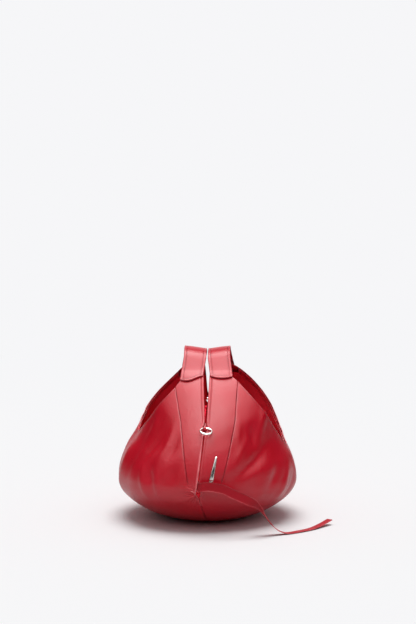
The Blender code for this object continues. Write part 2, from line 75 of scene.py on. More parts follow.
# Shell, as in the frame
BELLY_HALF_WIDTH = 0.1155
BELLY_HALF_DEPTH = 0.112
SIDE_BELLY_HEIGHT = 0.050
END_BELLY_HEIGHT = 0.060
FOOT_HALF_WIDTH = 0.032
FOOT_HALF_DEPTH = 0.036
TUCK_POWER = 1.80
SIDE_ARC_RADIUS = 0.080
END_ARC_RADIUS = 0.160
SIDE_EASE = 0.040
EASE_START = {-1: 0.100, 1: 0.088}
REAR_FULLNESS = {-1: 0.011, 1: 0.002}
REAR_FULL_HEIGHT = 0.118
REAR_FULL_SPAN = 0.036
STRIP_TOP = 0.196
SHOULDER_HEIGHT = {-1: 0.179, 1: 0.186}
RIM_LOW_HEIGHT = {-1: 0.112, 1: 0.095}
RIM_STRAIGHT_SHARE = 1.15
REAR_LEFT_STRAIGHT_SHARE = 1.00
RIM_CORNER_SHARE = 0.08
SEAM_HALF_WIDTH = 0.040
SEAM_POWER = {-1: 0.72, 1: 0.20}
SEAM_GAP = 0.00005
SLIT_HALF_WIDTH = 0.0011
SLIT_SPREAD = 0.0033
LAPPED_SLIT_HALF_WIDTH = 0.00055
REAR_SLIT_FOOT = 0.138
HOLE_HALF_WIDTH = 0.0023
HOLE_SOFTNESS = 0.005
REAR_HOLE_SHARE = 1.4
SEAM_LEAN = 0.0095
WALL_ROWS = 22
ROW_SPACING = 1.5
TIP_ROW = 7
PULL_HOLE_ROW = 9
RING_ROW = 17

# Handles, loops and rings, as in the frame
HANDLE_THICKNESS = 0.0024
HANDLE_CREST = 0.2205
HANDLE_OVERLAP = 0.009
HANDLE_INNER_BASE = 0.0050
HANDLE_INNER_CREST = 0.0010
HANDLE_WIDTH = 0.0290
HANDLE_TILT = 0.0015
HANDLE_LEAN_IN = 0.013
HANDLE_LEAN_UP = 0.011
HANDLE_CREST_SHARE = 0.62
HANDLE_TAB_SHARE = 0.20
HANDLE_SEAT = 0.0005
HANDLE_END_INSET = 0.0032
RING_RADIUS = 0.0074
WIRE_RADIUS = 0.0013
RING_DROOP = math.radians(19)
REAR_RING_DROOP = math.radians(15)
RING_TURN = math.radians(15)
LOOP_HALF_WIDTH = 0.0018
LOOP_THICKNESS = 0.0012
LOOP_CLEARANCE = 0.0013
LOOP_TAB = 0.0085
TAPE_EDGE = 0.0100
FACING_WIDTH = 0.007
FACING_THICKNESS = 0.0010
LINING_THICKNESS = 0.0009
LINING_LOW_STEP = 0.0022

# Trim and pull, as in the frame
TRIM_LOW = 0.067
TRIM_HIGH = 0.099
TRIM_OFFSET = 0.0170
TRIM_LEAN = 0.003
TRIM_HALF_WIDTH = 0.0028
TRIM_TOP_SHARE = 0.45
TRIM_THICKNESS = 0.0016
PULL_WIDTH = 0.012
PULL_THICKNESS = 0.0015
PULL_TURN_START = 0.38
PULL_TURN_STOP = 0.54
PULL_ROOT_SHARE = 0.12
PULL_LIE = PULL_THICKNESS / 2 + 0.0002
PULL_ROUTE = (
    (0.0050, -0.1225, 0.0632),
    (0.0230, -0.1245, 0.0605),
    (0.0364, -0.1255, 0.0545),
    (0.0540, -0.1250, 0.0465),
    (0.0676, -0.1240, 0.0380),
    (0.0785, -0.1220, 0.0225),
    (0.0870, -0.1195, 0.0110),
    (0.0960, -0.1170, 0.0040),
    (0.1060, -0.1130, PULL_LIE),
    (0.1200, -0.1030, PULL_LIE),
    (0.1355, -0.0890, 0.0012),
    (0.1480, -0.0725, 0.0030),
    (0.1600, -0.0560, 0.0062),
)

# Camera and light
VIEW_AZIMUTH = math.radians(1.5)
VIEW_ELEVATION = math.radians(12)
VIEW_DISTANCE = 6.0
VIEW_CENTRE = Vector((0.0, 0.0, 0.105))
PIXEL = 0.0013
LONG_SIDE = 624
LENS_SHIFT = (0.0008, 0.197)
# Name, strength, angle across and tilt towards the front in degrees
LAMPS = (
    ("overhead_softbox", 2.05, 40, -12),
    ("front_top_softbox", 2.00, 50, 34),
    ("front_low_softbox", 0.30, 30, 66),
)
FLOOR_RADIUS = 9.0
FLOOR_FADE = (0.45, 1.1)

SIDES = {"left": -1, "right": 1}
ENDS = {"front": True, "rear": False}


# Shape of the shell: every function takes and gives arrays


def soft_step(low, high, value):
    share = np.clip((value - low) / (high - low), 0.0, 1.0)
    return share * share * (3.0 - 2.0 * share)


def tucked(height, belly, foot, reach):
    drop = np.clip((belly - height) / belly, 0.0, 1.0)
    return foot + (reach - foot) * (1.0 - drop**TUCK_POWER) ** (1.0 / TUCK_POWER)


def side_reach(height, side):
    start = EASE_START[side]
    climb = np.clip(height, SIDE_BELLY_HEIGHT, start) - SIDE_BELLY_HEIGHT
    level = np.sqrt(SIDE_ARC_RADIUS**2 - climb**2)
    run = np.clip(height - start, 0.0, SIDE_EASE)
    above = BELLY_HALF_WIDTH - SIDE_ARC_RADIUS + level
    above = above - climb / level * run * (1.0 - run / (2.0 * SIDE_EASE))
    below = tucked(height, SIDE_BELLY_HEIGHT, FOOT_HALF_WIDTH, BELLY_HALF_WIDTH)
    return np.where(height < SIDE_BELLY_HEIGHT, below, above)


def end_reach(height):
    climb = np.clip(height - END_BELLY_HEIGHT, 0.0, None)
    above = np.sqrt(END_ARC_RADIUS**2 - climb**2) - (END_ARC_RADIUS - BELLY_HALF_DEPTH)
    below = tucked(height, END_BELLY_HEIGHT, FOOT_HALF_DEPTH, BELLY_HALF_DEPTH)
    return np.where(height < END_BELLY_HEIGHT, below, above)


def row_height(row, top):
    return top * (row / WALL_ROWS) ** ROW_SPACING


RING_HEIGHT = row_height(RING_ROW, STRIP_TOP)
PULL_HOLE_HEIGHT = row_height(PULL_HOLE_ROW, STRIP_TOP)


def lean(height):
    """How far the slack front seam stands to the left of the middle."""
    straight = RING_HEIGHT + RING_RADIUS
    above = np.clip(straight - height, 0.0, None) / (straight - END_BELLY_HEIGHT)
    below = np.sin(np.clip(height / END_BELLY_HEIGHT, 0.0, 1.0) * math.pi / 2) ** 2
    return -SEAM_LEAN * np.where(height > END_BELLY_HEIGHT, above, below)


def shell(side, height, spread, angle):
    """Points of the outer face. The angle runs from the front end, over the side, to the rear end."""
    shift = lean(height) * np.clip(-np.sin(angle), 0.0, None) ** 2
    full = np.exp(-(((height - REAR_FULL_HEIGHT) / REAR_FULL_SPAN) ** 2))
    shift = shift + side * REAR_FULLNESS[side] * full * np.clip(np.sin(2 * angle), 0.0, None) * spread
    wide = side * side_reach(height, side) * spread * np.cos(angle)
    deep = end_reach(height) * spread * np.sin(angle)
    return np.stack(np.broadcast_arrays(wide + shift, deep, height), axis=-1)


def angle_at(side, height, distance):
    return np.arccos(np.clip(distance / side_reach(height, side), 0.0, 1.0))


def seam_reach(side, height):
    """Distance of a strip's outer seam from the middle."""
    top = SHOULDER_HEIGHT[side]
    tip = row_height(TIP_ROW, top)
    first = row_height(TIP_ROW + 1, top)
    power = SEAM_POWER[side]
    curve = SEAM_HALF_WIDTH * np.clip((height - tip) / (top - tip), 0.0, 1.0) ** power
    start = SEAM_HALF_WIDTH * ((first - tip) / (top - tip)) ** power
    straight = start * np.clip((height - tip) / (first - tip), 0.0, 1.0)
    return np.where(height < first, straight, curve)


def rim_height(side, share):
    """Height of the mouth's rim, for shares from -1 at the front strips to 1 at the rear strips."""
    soft = np.sqrt(share**2 + RIM_CORNER_SHARE**2) - RIM_CORNER_SHARE
    soft = soft / (math.sqrt(1.0 + RIM_CORNER_SHARE**2) - RIM_CORNER_SHARE)
    straight = RIM_STRAIGHT_SHARE
    if side < 0:
        straight = np.where(share > 0, REAR_LEFT_STRAIGHT_SHARE, RIM_STRAIGHT_SHARE)
    rise = straight * soft + (1.0 - straight) * soft**2
    return RIM_LOW_HEIGHT[side] + (SHOULDER_HEIGHT[side] - RIM_LOW_HEIGHT[side]) * rise


def slit_edge(height, front):
    """Half the gap between the two strips of an end."""
    ring_hole = HOLE_HALF_WIDTH * np.exp(-(((height - RING_HEIGHT) / HOLE_SOFTNESS) ** 2))
    above = np.clip(height - RING_HEIGHT, 0.0, None)
    spread = SLIT_SPREAD * above / (STRIP_TOP - RING_HEIGHT)
    if not front:
        spread = (spread + SLIT_HALF_WIDTH) * soft_step(0.0, 2 * HOLE_SOFTNESS, height - REAR_SLIT_FOOT)
        return SEAM_GAP + spread + ring_hole * REAR_HOLE_SHARE
    pull_hole = HOLE_HALF_WIDTH * np.exp(-(((height - PULL_HOLE_HEIGHT) / HOLE_SOFTNESS) ** 2))
    open_edge = LAPPED_SLIT_HALF_WIDTH * soft_step(-HOLE_SOFTNESS, 0.0, height - PULL_HOLE_HEIGHT)
    return SEAM_GAP + open_edge + spread + ring_hole + pull_hole


# Soft folds: side, angle in degrees, height, half width and half length in mm, turn in radians, outward mm
FOLDS = (
    (-1, -48, 0.060, 4.5, 20, -0.36, 2.3),
    (-1, -55, 0.066, 3.4, 18, -0.30, -2.1),
    (-1, -61, 0.060, 3.4, 15, -0.20, 1.8),
    (-1, -71, 0.074, 9.0, 14, 0.00, -1.6),
    (-1, -45, 0.099, 6.5, 24, 0.60, -2.4),
    (-1, -59, 0.106, 5.5, 26, 0.15, 1.9),
    (-1, -66, 0.106, 4.5, 15, 0.25, -1.7),
    (-1, -28, 0.080, 12.0, 28, 0.10, -2.2),
    (-1, -38, 0.128, 9.0, 16, 0.50, 1.8),
    (-1, -78, 0.040, 20.0, 8, 0.00, 1.0),
    (-1, -14, 0.060, 9.0, 32, 0.10, 1.5),
    (-1, -3, 0.062, 7.0, 30, 0.15, -1.3),
    (1, -63, 0.124, 6.0, 18, 0.10, 1.3),
    (1, -50, 0.120, 6.5, 13, 0.30, -2.2),
    (1, -40, 0.136, 8.0, 20, -0.30, 1.7),
    (1, -52, 0.087, 8.0, 34, -1.05, -2.8),
    (1, -60, 0.104, 6.0, 14, -0.60, 1.6),
    (1, -27, 0.052, 5.0, 22, -0.67, 2.4),
    (1, -18, 0.044, 5.0, 20, -0.67, -1.7),
    (1, -37, 0.064, 6.0, 18, -0.67, -2.0),
    (1, -50, 0.046, 9.0, 16, -0.40, 1.4),
    (1, -6, 0.060, 9.0, 30, -0.15, 1.5),
)
SEEDED_FOLDS = 15
GATHERS = 7.0
TIP_BLEND = (0.056, 0.068)


def fold_table():
    """The front folds, and seeded ones round the sides and the rear."""
    table = list(FOLDS)
    pick = np.random.RandomState(7)
    for side in SIDES.values():
        for angle in np.linspace(6, 76, SEEDED_FOLDS):
            height = 0.045 + 0.075 * pick.rand()
            narrow = 4.5 + 4.5 * pick.rand()
            turn = 1.3 * (pick.rand() - 0.5)
            tall = 22 + 12 * pick.rand()
            table.append((side, angle, height, narrow, tall, turn, 2.6 * (pick.rand() - 0.5)))
    return table


def ripples(x, y, z):
    """Faint unevenness at two scales, in millimetres."""
    slow = 0.35 * np.sin(61 * x + 47 * z + 1.3) * np.sin(53 * y - 71 * z + 0.4)
    return slow + 0.16 * np.sin(173 * x - 121 * z) * np.sin(149 * y + 97 * z + 2.1)


def gathered(x, y, z):
    """Creases that run out from the pull's hole, mostly to the left, in millimetres."""
    aside = x - lean(np.array(PULL_HOLE_HEIGHT))
    above = z - PULL_HOLE_HEIGHT + 0.002
    away = np.hypot(aside, above) * 1000.0
    ray = np.arctan2(above, aside)
    reach = np.exp(-((away / 17.0) ** 2)) * soft_step(2.5, 8.0, away) * (y < 0)
    leftward = 0.35 + 0.65 * soft_step(-0.2, 0.6, -np.cos(ray))
    return 0.55 * reach * leftward * (1.0 + np.cos(ray * GATHERS))


def fold_depth(side, height, angle, points):
    """How far the slack leather stands out of the smooth shell."""
    degrees = np.degrees(angle)
    total = np.zeros(np.shape(degrees))
    for fold_side, at, level, narrow, tall, turn, out in fold_table():
        if fold_side == side:
            across = (degrees - at) * 2.0
            up = (height - level) * 1000.0
            p = across * math.cos(turn) + up * math.sin(turn)
            q = up * math.cos(turn) - across * math.sin(turn)
            total = total + out * np.exp(-((p / narrow) ** 2) - (q / tall) ** 2)
    total = total + ripples(*np.moveaxis(points, -1, 0))
    from_slit = (90.0 - np.abs(degrees)) * 2.0
    total = total * soft_step(9.0, 26.0, from_slit) * (1.0 - soft_step(0.150, 0.182, height))
    total = total + gathered(*np.moveaxis(points, -1, 0))
    return total * soft_step(0.0, 0.022, height) * 0.001


# Sheets: a grid of points becomes a mesh with rolled edges


def lines(marks, cells):
    """Shares from 0 to 1: cells even steps between finer lines near both ends."""
    marks = np.array(marks)
    middle = np.linspace(marks[-1], 1.0 - marks[-1], cells + 1)
    return np.concatenate([marks[:-1], middle, 1.0 - marks[:-1][::-1]])


def edge_lines(width, crease, cells):
    """Shares across a sheet of this width, close together at its edges and at its crease lines."""
    near = [0.0, 0.00006, 0.00022, 0.0005, 0.0009, 0.0014]
    near += [crease + step for step in (-0.0009, -0.00045, 0.0, 0.00045, 0.0009, 0.0016)]
    return lines(np.array(near) / width, cells)


def grid_normals(points, facing):
    across = np.gradient(points, axis=1)
    along = np.gradient(points, axis=0)
    normal = np.cross(across, along) * facing
    size = np.linalg.norm(normal, axis=2, keepdims=True)
    return normal / np.maximum(size, 1e-12)


def arc_lengths(points):
    """Distance of each point from the grid's left, right, low and high edges, along the sheet."""
    rows = np.linalg.norm(np.diff(points, axis=1), axis=2)
    columns = np.linalg.norm(np.diff(points, axis=0), axis=2)
    left = np.concatenate([np.zeros((len(points), 1)), np.cumsum(rows, axis=1)], axis=1)
    low = np.concatenate([np.zeros((1, points.shape[1])), np.cumsum(columns, axis=0)], axis=0)
    return left, left[:, -1:] - left, low, low[-1:, :] - low


def crease(distance, inset, width=0.00055):
    return np.exp(-(((distance - inset) / width) ** 2))


def nearest(*distances):
    return np.minimum.reduce(np.broadcast_arrays(*distances))


def largest(*shares):
    return np.maximum.reduce(np.broadcast_arrays(*shares))


def skinned(points, normals, thickness, rolled, relief=0.0, depth=0.0):
    """Outer and inner grids of a sheet whose outer face is at the points, rounded where the roll is short."""
    radius = thickness / 2
    bulge = np.sqrt(np.clip(1.0 - (1.0 - np.clip(rolled / radius, 0.0, 1.0)) ** 2, 0.0, 1.0))
    middle = points - normals * (depth + radius)
    outer = middle + normals * (bulge * (radius + relief))[..., None]
    inner = middle - normals * (bulge * radius)[..., None]
    return outer, inner


def sheet_object(name, outer, inner, marks, lengths):
    """A sheet's mesh, with its two marks as attributes and its lengths as a UV map.

    Known fault: adding the layers empties the set of inner corners, so only the outer grid is left, and the
    mesh is open along its edges. Layers added before the extrude keep the set.
    """
    rows, columns = outer.shape[:2]
    mesh = bmesh.new()
    bmesh.ops.create_grid(mesh, x_segments=columns - 1, y_segments=rows - 1, size=0.5)
    raised = bmesh.ops.extrude_face_region(mesh, geom=mesh.faces[:])
    under = {item for item in raised["geom"] if isinstance(item, bmesh.types.BMVert)}
    for key in MARKS:
        mesh.verts.layers.float.new(key)
    layers = [mesh.verts.layers.float[key] for key in MARKS]
    place = {}
    for vert in mesh.verts:
        at = (round((vert.co.y + 0.5) * (rows - 1)), round((vert.co.x + 0.5) * (columns - 1)))
        place[vert] = at
        vert.co = Vector(inner[at] if vert in under else outer[at])
        for layer, mark in zip(layers, marks):
            vert[layer] = float(mark[at])
    uv = mesh.loops.layers.uv.new("lengths")
    for face in mesh.faces:
        for loop in face.loops:
            at = place[loop.vert]
            loop[uv].uv = (lengths[0][at], lengths[2][at])
    bmesh.ops.remove_doubles(mesh, verts=mesh.verts[:], dist=2e-6)
    bmesh.ops.recalc_face_normals(mesh, faces=mesh.faces[:])
    return mesh_object(name, mesh)


def mesh_object(name, mesh):
    data = bpy.data.meshes.new(name)
    mesh.to_mesh(data)
    mesh.free()
    data.shade_smooth()
    data.set_sharp_from_angle(angle=math.radians(50))
    made = bpy.data.objects.new(name, data)
    bpy.context.scene.collection.objects.link(made)
    return made


def at_distance(points, normals, distance, inset):
    """The line of points where the distance from one edge is the inset, row by row."""
    found, facing = [], []
    for row, faces, away in zip(points, normals, distance):
        order = np.argsort(away)
        if away[order[-1]] < inset * 2:
            continue
        found.append([np.interp(inset, away[order], row[order, axis]) for axis in range(3)])
        facing.append([np.interp(inset, away[order], faces[order, axis]) for axis in range(3)])
    return np.array(found), np.array(facing)


STITCH_LINES = {}
# The first mark lightens worn edges and paints a highlight on raised lips; the second paints shade into
# creases and darkens the seams.
MARKS = ("rubbed_edge_and_highlight", "crease_share")


def keep_stitches(family, points, normals, distance, inset, across=False, start=0, stop=None):
    """Notes a stitch line at a distance from an edge; across turns the grid so that the edge is its end."""
    if across:
        points, normals, distance = points.swapaxes(0, 1), normals.swapaxes(0, 1), distance.T
    line = at_distance(points, normals, distance, inset)
    STITCH_LINES.setdefault(family, []).append((line[0][start:stop], line[1][start:stop]))


def dress(piece, material, body, *nodes, slot="leather"):
    piece.data.materials.append(bpy.data.materials[material])
    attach(piece, body)
    if nodes:
        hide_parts(*nodes)
    return piece


# Leather pieces

# Distances from the rim of its last rows
FINE_RIM = (
    (0.0062, 0.0048, 0.0040, 0.0034, 0.0029, 0.0024, 0.0018)
    + (0.0012, 0.0008, 0.00045, 0.0002, 0.00006, 0.0)
)
FACING_ROWS = (1.0, 0.985, 0.94, 0.86, 0.70, 0.55, 0.42, 0.28, 0.12, 0.05, 0.015, 0.0)


def panel_rows(top, rows, fine):
    """Heights and spreads of the panel's rows, from the foot's middle to a rim at these heights."""
    foot = np.linspace(0.0, 1.0, 9)[:-1]
    wall = np.linspace(0.0, 1.0, rows) ** ROW_SPACING
    heights = np.concatenate(
        [
            np.zeros((len(foot), len(top))),
            wall[:, None] * (top - fine[0])[None, :],
            top[None, :] - np.array(fine[1:])[:, None],
        ]
    )
    spreads = np.concatenate([foot, np.ones(len(heights) - len(foot))])
    return heights, np.broadcast_to(spreads[:, None], heights.shape)


def folded(side, heights, spreads, angles, facing):
    """Shell points with the soft folds, and their normals."""
    points = shell(side, heights, spreads, angles)
    normals = grid_normals(points, facing)
    normals[spreads < 1.0] = (0.0, 0.0, -1.0)
    points = points + normals * fold_depth(side, heights, angles, points)[..., None]
    normals = grid_normals(points, facing)
    normals[spreads < 1.0] = (0.0, 0.0, -1.0)
    return points, normals


def flush_share(heights):
    """Keeps the seams from rolling in where the strips end in a tip under the hole."""
    blend = soft_step(0.030, 0.036, heights) * (1.0 - soft_step(*TIP_BLEND, heights))
    return 0.004 * blend


def make_panel(name, side):
    sizes = bpy.context.scene.bag_sizes
    turn = 2.0 * edge_lines(0.33, sizes.hem_inset, 84) - 1.0
    heights, spreads = panel_rows(rim_height(side, turn), 92, FINE_RIM)
    edge = angle_at(side, heights, seam_reach(side, heights))
    points, normals = folded(side, heights, spreads, edge * turn[None, :], side)
    points[..., 0] += side * 0.00004
    left, right, low, high = arc_lengths(points)
    flush = flush_share(heights)
    rolled = nearest(left + flush, right + flush, high)
    hem = crease(high, sizes.hem_inset)
    ridge = soft_step(0.0, 0.0012, high) * (1.0 - soft_step(0.0016, 0.0028, high))
    seam = crease(nearest(left, right) + flush, 0.0, 0.0012)
    relief = 0.00022 * ridge - sizes.crease_depth * 0.6 * hem - 0.0003 * seam
    outer, inner = skinned(points, normals, sizes.leather, rolled, relief)
    # Marks: the lightened worn rim edge, and painted shade in the hem crease with the dark seam lines.
    marks = (np.exp(-high / 0.0011), np.maximum(hem * 0.6, seam))
    made = sheet_object(name + "_panel_leather", outer, inner, marks, (left, right, low, high))
    keep_stitches("rim_stitches", outer, normals, high, sizes.hem_inset, across=True, start=3, stop=-3)
    return dress(made, "shell_leather", "bag", name + "_panel")


def make_facing(name, side):
    sizes = bpy.context.scene.bag_sizes
    turn = 2.0 * lines([0.0, 0.004, 0.012], 96) - 1.0
    top = rim_height(side, turn) - 0.0003
    heights = top[None, :] - np.array(FACING_ROWS)[:, None] * FACING_WIDTH
    edge = angle_at(side, heights, seam_reach(side, heights))
    points, normals = folded(side, heights, np.ones(heights.shape), edge * turn[None, :], side)
    lengths = arc_lengths(points)
    low = lengths[2]
    rolled = nearest(*lengths)
    outer, inner = skinned(points, normals, FACING_THICKNESS, rolled, 0.0, sizes.leather + 0.0001)
    # Marks: the lightened worn edges, and painted shade in the stitch line's crease.
    marks = (np.exp(-rolled / 0.0009), 0.7 * crease(low, 0.0018))
    made = sheet_object(name + "_rim_facing_leather", outer, inner, marks, lengths)
    keep_stitches("facing_stitches", inner, -normals, low, 0.0016, across=True, start=3, stop=-3)
    return dress(made, "facing_leather", "bag", name + "_rim_facing")


def make_strip(end, name, side):
    sizes = bpy.context.scene.bag_sizes
    front = ENDS[end]
    top = SHOULDER_HEIGHT[side]
    share = edge_lines(0.042, sizes.crease_inset, 16)
    near_top = np.array(FINE_RIM) / 0.16
    climb = np.concatenate([np.linspace(0.0, 1.0, 104)[:-1] * (1.0 - near_top[0]), 1.0 - near_top])
    tops = STRIP_TOP + (top - STRIP_TOP) * share**3
    tip = row_height(TIP_ROW, top)
    heights = tip + (tops[None, :] - tip) * climb[:, None] ** 1.25
    inner_edge = slit_edge(heights, front)
    outer_edge = np.maximum(seam_reach(side, heights) - 0.00004, inner_edge + 0.0001)
    angles = angle_at(side, heights, inner_edge + (outer_edge - inner_edge) * share[None, :])
    angles = -angles if front else angles
    facing = side if front else -side
    points, normals = folded(side, heights, np.ones(heights.shape), angles, facing)
    lengths = arc_lengths(points)
    left, right, _, high = lengths
    flush = flush_share(heights)
    rolled = nearest(left, right + flush, high)
    upper = soft_step(RING_HEIGHT + 0.004, RING_HEIGHT + 0.016, heights) if front else np.ones(heights.shape)
    line = crease(left, sizes.crease_inset) * (0.25 + 0.75 * upper)
    lip = soft_step(0.0, 0.0009, left) * (1.0 - soft_step(0.0012, 0.0030, left))
    # On the front left strip, between the pull's hole and the ring, the lip gets a painted highlight: its
    # edge mark is raised so the leather turns pale pink there.
    highlit_lip_zone = 0.0
    if front and side < 0:
        highlit_lip_zone = (1.0 - upper) * soft_step(0.045, 0.056, heights)
        lip = lip * (1.0 + 1.6 * highlit_lip_zone)
    relief = 0.00030 * lip - sizes.crease_depth * line
    outer, inner = skinned(points, normals, sizes.leather, rolled, relief)
    # The lip's painted highlight; the edge mark also lightens worn edges, and the crease mark paints shade
    # into the crease line and darkens the seam.
    painted = np.exp(-((left / 0.0024) ** 4)) * highlit_lip_zone
    edges = largest(np.exp(-nearest(left, high) / 0.0011), 0.3 * lip, 2.6 * painted)
    marks = (edges, largest(line * (1.0 - 0.5 * highlit_lip_zone), crease(right + flush, 0.0, 0.0012)))
    made = sheet_object(f"{end}_{name}_strip_leather", outer, inner, marks, lengths)
    start = 62 if front else 30
    keep_stitches("strip_stitches", outer, normals, left, sizes.crease_inset, start=start, stop=-8)
    return dress(made, "shell_leather", "bag", f"{end}_{name}_strip")


def make_lining(name, side):
    """Half of the lining, with its own slack wrinkles."""

    def edge_angle(height, front):
        clearance = np.where(front, TAPE_EDGE + 0.0025, LOOP_HALF_WIDTH + 0.0010)
        share = np.clip((height / PULL_HOLE_HEIGHT - 0.75) / 0.2, 0.0, 1.0)
        return angle_at(side, height, 0.00015 + clearance * share)

    turn = 2.0 * lines([0.0, 0.003, 0.010], 70) - 1.0
    reach = edge_angle(RING_HEIGHT, turn < 0) * turn
    top = np.full(turn.shape, SHOULDER_HEIGHT[side])
    for _ in range(6):
        top = rim_height(side, np.clip(reach / angle_at(side, top, seam_reach(side, top)), -1.0, 1.0))
    heights, spreads = panel_rows(top - FACING_WIDTH + LINING_LOW_STEP, 64, (0.004, 0.002, 0.0008, 0.0))
    angles = edge_angle(heights, turn[None, :] < 0) * turn[None, :]
    points, normals = folded(side, heights, spreads, angles, side)
    points[..., 0] += side * 0.00015
    lengths = arc_lengths(points)
    left, right, _, high = lengths
    x, y, z = np.moveaxis(points, -1, 0)
    slack = 0.5 + 0.5 * np.sin(210 * y + 90 * x + 3.0 * np.sin(47 * z)) * np.sin(60 * z + 1.0)
    depth = 0.0032 + 0.0014 * slack * soft_step(0.0, 0.03, z) * soft_step(0.0, 0.02, high)
    rolled = nearest(left, right, high)
    outer, inner = skinned(points, normals, LINING_THICKNESS, rolled, 0.0, depth[..., None])
    marks = (np.exp(-rolled / 0.0011), 1.0 - slack)
    made = sheet_object(name + "_lining_cloth", outer, inner, marks, lengths)
    return dress(made, "lining_cloth", "bag", name + "_lining", slot="lining")


# Handles


def handle_line(share, overlap):
    """Inner face of the handle: y and z, for shares along it and the overlap of its ends."""
    near = 1.0 - np.abs(2.0 * share - 1.0)
    sign = np.where(share <= 0.5, -1.0, 1.0)
    tab = HANDLE_TAB_SHARE
    low = STRIP_TOP - overlap * (1.0 - np.clip(near / tab, 0.0, 1.0))
    t = np.clip((near - tab) / (1.0 - tab), 0.0, 1.0)
    base = end_reach(np.array(STRIP_TOP)) + HANDLE_SEAT
    crest = HANDLE_CREST - HANDLE_THICKNESS
    weights = ((1 - t) ** 3, 3 * t * (1 - t) ** 2, 3 * t * t * (1 - t), t**3)
    ys = (base, base - HANDLE_LEAN_IN, base * HANDLE_CREST_SHARE, 0.0)
    zs = (STRIP_TOP, STRIP_TOP + HANDLE_LEAN_UP, crest, crest)
    y = sum(weight * at for weight, at in zip(weights, ys))
    z = sum(weight * at for weight, at in zip(weights, zs))
    y = np.where(near < tab, end_reach(low) + HANDLE_SEAT, y)
    return sign * y, np.where(near < tab, low, z)


def make_handle(name, side):
    sizes = bpy.context.scene.bag_sizes
    across = edge_lines(HANDLE_WIDTH, sizes.crease_inset, 12)
    along = edge_lines(0.27, 0.0030, 110)
    near_front = 1.0 - soft_step(0.0, 0.5, along)[:, None]
    if side < 0:
        drop = 0.0062 * np.sin(np.clip(across * 1.25, 0.0, 1.0) * math.pi / 2) ** 1.5 - 0.0012 * across**4
    else:
        drop = 0.0022 * np.sin(across * math.pi) ** 0.8 + 0.0008 * across
    overlap = HANDLE_OVERLAP + (drop[None, :] - 0.0042) * near_front
    y, z = handle_line(np.broadcast_to(along[:, None], overlap.shape), overlap)
    rise = np.clip((z - STRIP_TOP + HANDLE_OVERLAP) / (HANDLE_CREST - STRIP_TOP), 0.0, 1.0)
    x = HANDLE_INNER_BASE + (HANDLE_INNER_CREST - HANDLE_INNER_BASE) * rise + HANDLE_WIDTH * across[None, :]
    wide = side_reach(np.array(STRIP_TOP), side)
    sag = np.abs(end_reach(np.minimum(z, STRIP_TOP))) * (1.0 - np.sqrt(1.0 - (x / wide) ** 2)) * (1.0 - rise)
    y = y - np.sign(y) * sag
    z = z + HANDLE_TILT * (2.0 * across[None, :] - 1.0) * rise
    z = z + 0.0004 * np.sin(9.0 * along)[:, None] * np.cos(math.pi * across)[None, :] * rise
    points = np.stack([side * x, y, z], axis=-1)
    normals = grid_normals(points, side)
    lengths = arc_lengths(points)
    left, right, low, high = lengths
    sides, ends = nearest(left, right), nearest(low, high)
    rolled = nearest(sides, ends) * 1.6
    line = largest(crease(sides, sizes.crease_inset, 0.0007), 0.8 * crease(ends, HANDLE_END_INSET, 0.0006))
    lip = (1.0 - soft_step(0.0018, 0.0034, sides)) * soft_step(0.0, 0.0010, sides)
    crown = 0.0003 * np.sin(math.pi * np.clip(across, 0.0, 1.0))[None, :]
    relief = 0.00018 * lip - 0.5 * sizes.crease_depth * line + crown
    thick = HANDLE_THICKNESS
    outer, inner = skinned(points + normals * thick, normals, thick, rolled, relief)
    # Marks: worn edges with a painted highlight on the raised lip, and painted shade in the crease lines.
    marks = (largest(np.exp(-rolled / 0.0014), 0.35 * lip), np.minimum(1.25 * line, 1.0))
    made = sheet_object(name + "_handle_leather", outer, inner, marks, lengths)
    sewn = ("handle_stitches", outer, normals)
    for away in (left, right):
        keep_stitches(*sewn, away, sizes.crease_inset, start=7, stop=-7)
    for away in (low, high):
        keep_stitches(*sewn, away, HANDLE_END_INSET, across=True, start=9, stop=-9)
    return dress(made, "shell_leather", "bag", name + "_handle")


# Bands along a path: loops and the pull


def smooth_point(points, share):
    at = share * (len(points) - 1)
    low = min(int(at), len(points) - 2)
    t = at - low
    before = points[max(low - 1, 0)]
    start, stop = points[low], points[low + 1]
    after = points[min(low + 2, len(points) - 1)]
    return 0.5 * (
        2 * start
        + (stop - before) * t
        + (2 * before - 5 * start + 4 * stop - after) * t * t
        + (3 * start - before - 3 * stop + after) * t**3
    )


def band(name, middle, widths, directions, thickness, facing, cells):
    """A flat leather band with rounded edges, from its middle line, half widths and width directions."""
    full = 2.0 * float(np.max(widths))
    across = 2.0 * lines(np.array([0.0, 0.00006, 0.00022, 0.0005, 0.0009, 0.0015]) / full, cells) - 1.0
    points = middle[:, None, :] + directions[:, None, :] * (widths[:, None] * across[None, :])[..., None]
    normals = grid_normals(points, facing)
    lengths = arc_lengths(points)
    rolled = nearest(*lengths) * 1.3
    outer, inner = skinned(points + normals * thickness / 2, normals, thickness, rolled)
    # The edge mark lightens the band's worn rolled edges and paints a highlight along them.
    marks = (np.exp(-rolled / 0.0007), np.zeros(rolled.shape))
    return sheet_object(name, outer, inner, marks, lengths)


def seam_frame(front):
    """Point, outward, upward and sideways directions on the middle seam at the ring's height."""
    end = -1.0 if front else 1.0
    reach = float(end_reach(np.array(RING_HEIGHT)))
    point = Vector((float(lean(np.array(RING_HEIGHT))) if front else 0.0, end * reach, RING_HEIGHT))
    level = reach + END_ARC_RADIUS - BELLY_HALF_DEPTH
    outward = Vector((0.0, end * level, RING_HEIGHT - END_BELLY_HEIGHT)).normalized()
    sideways = Vector((-end, 0.0, 0.0))
    return point, outward, outward.cross(sideways), sideways


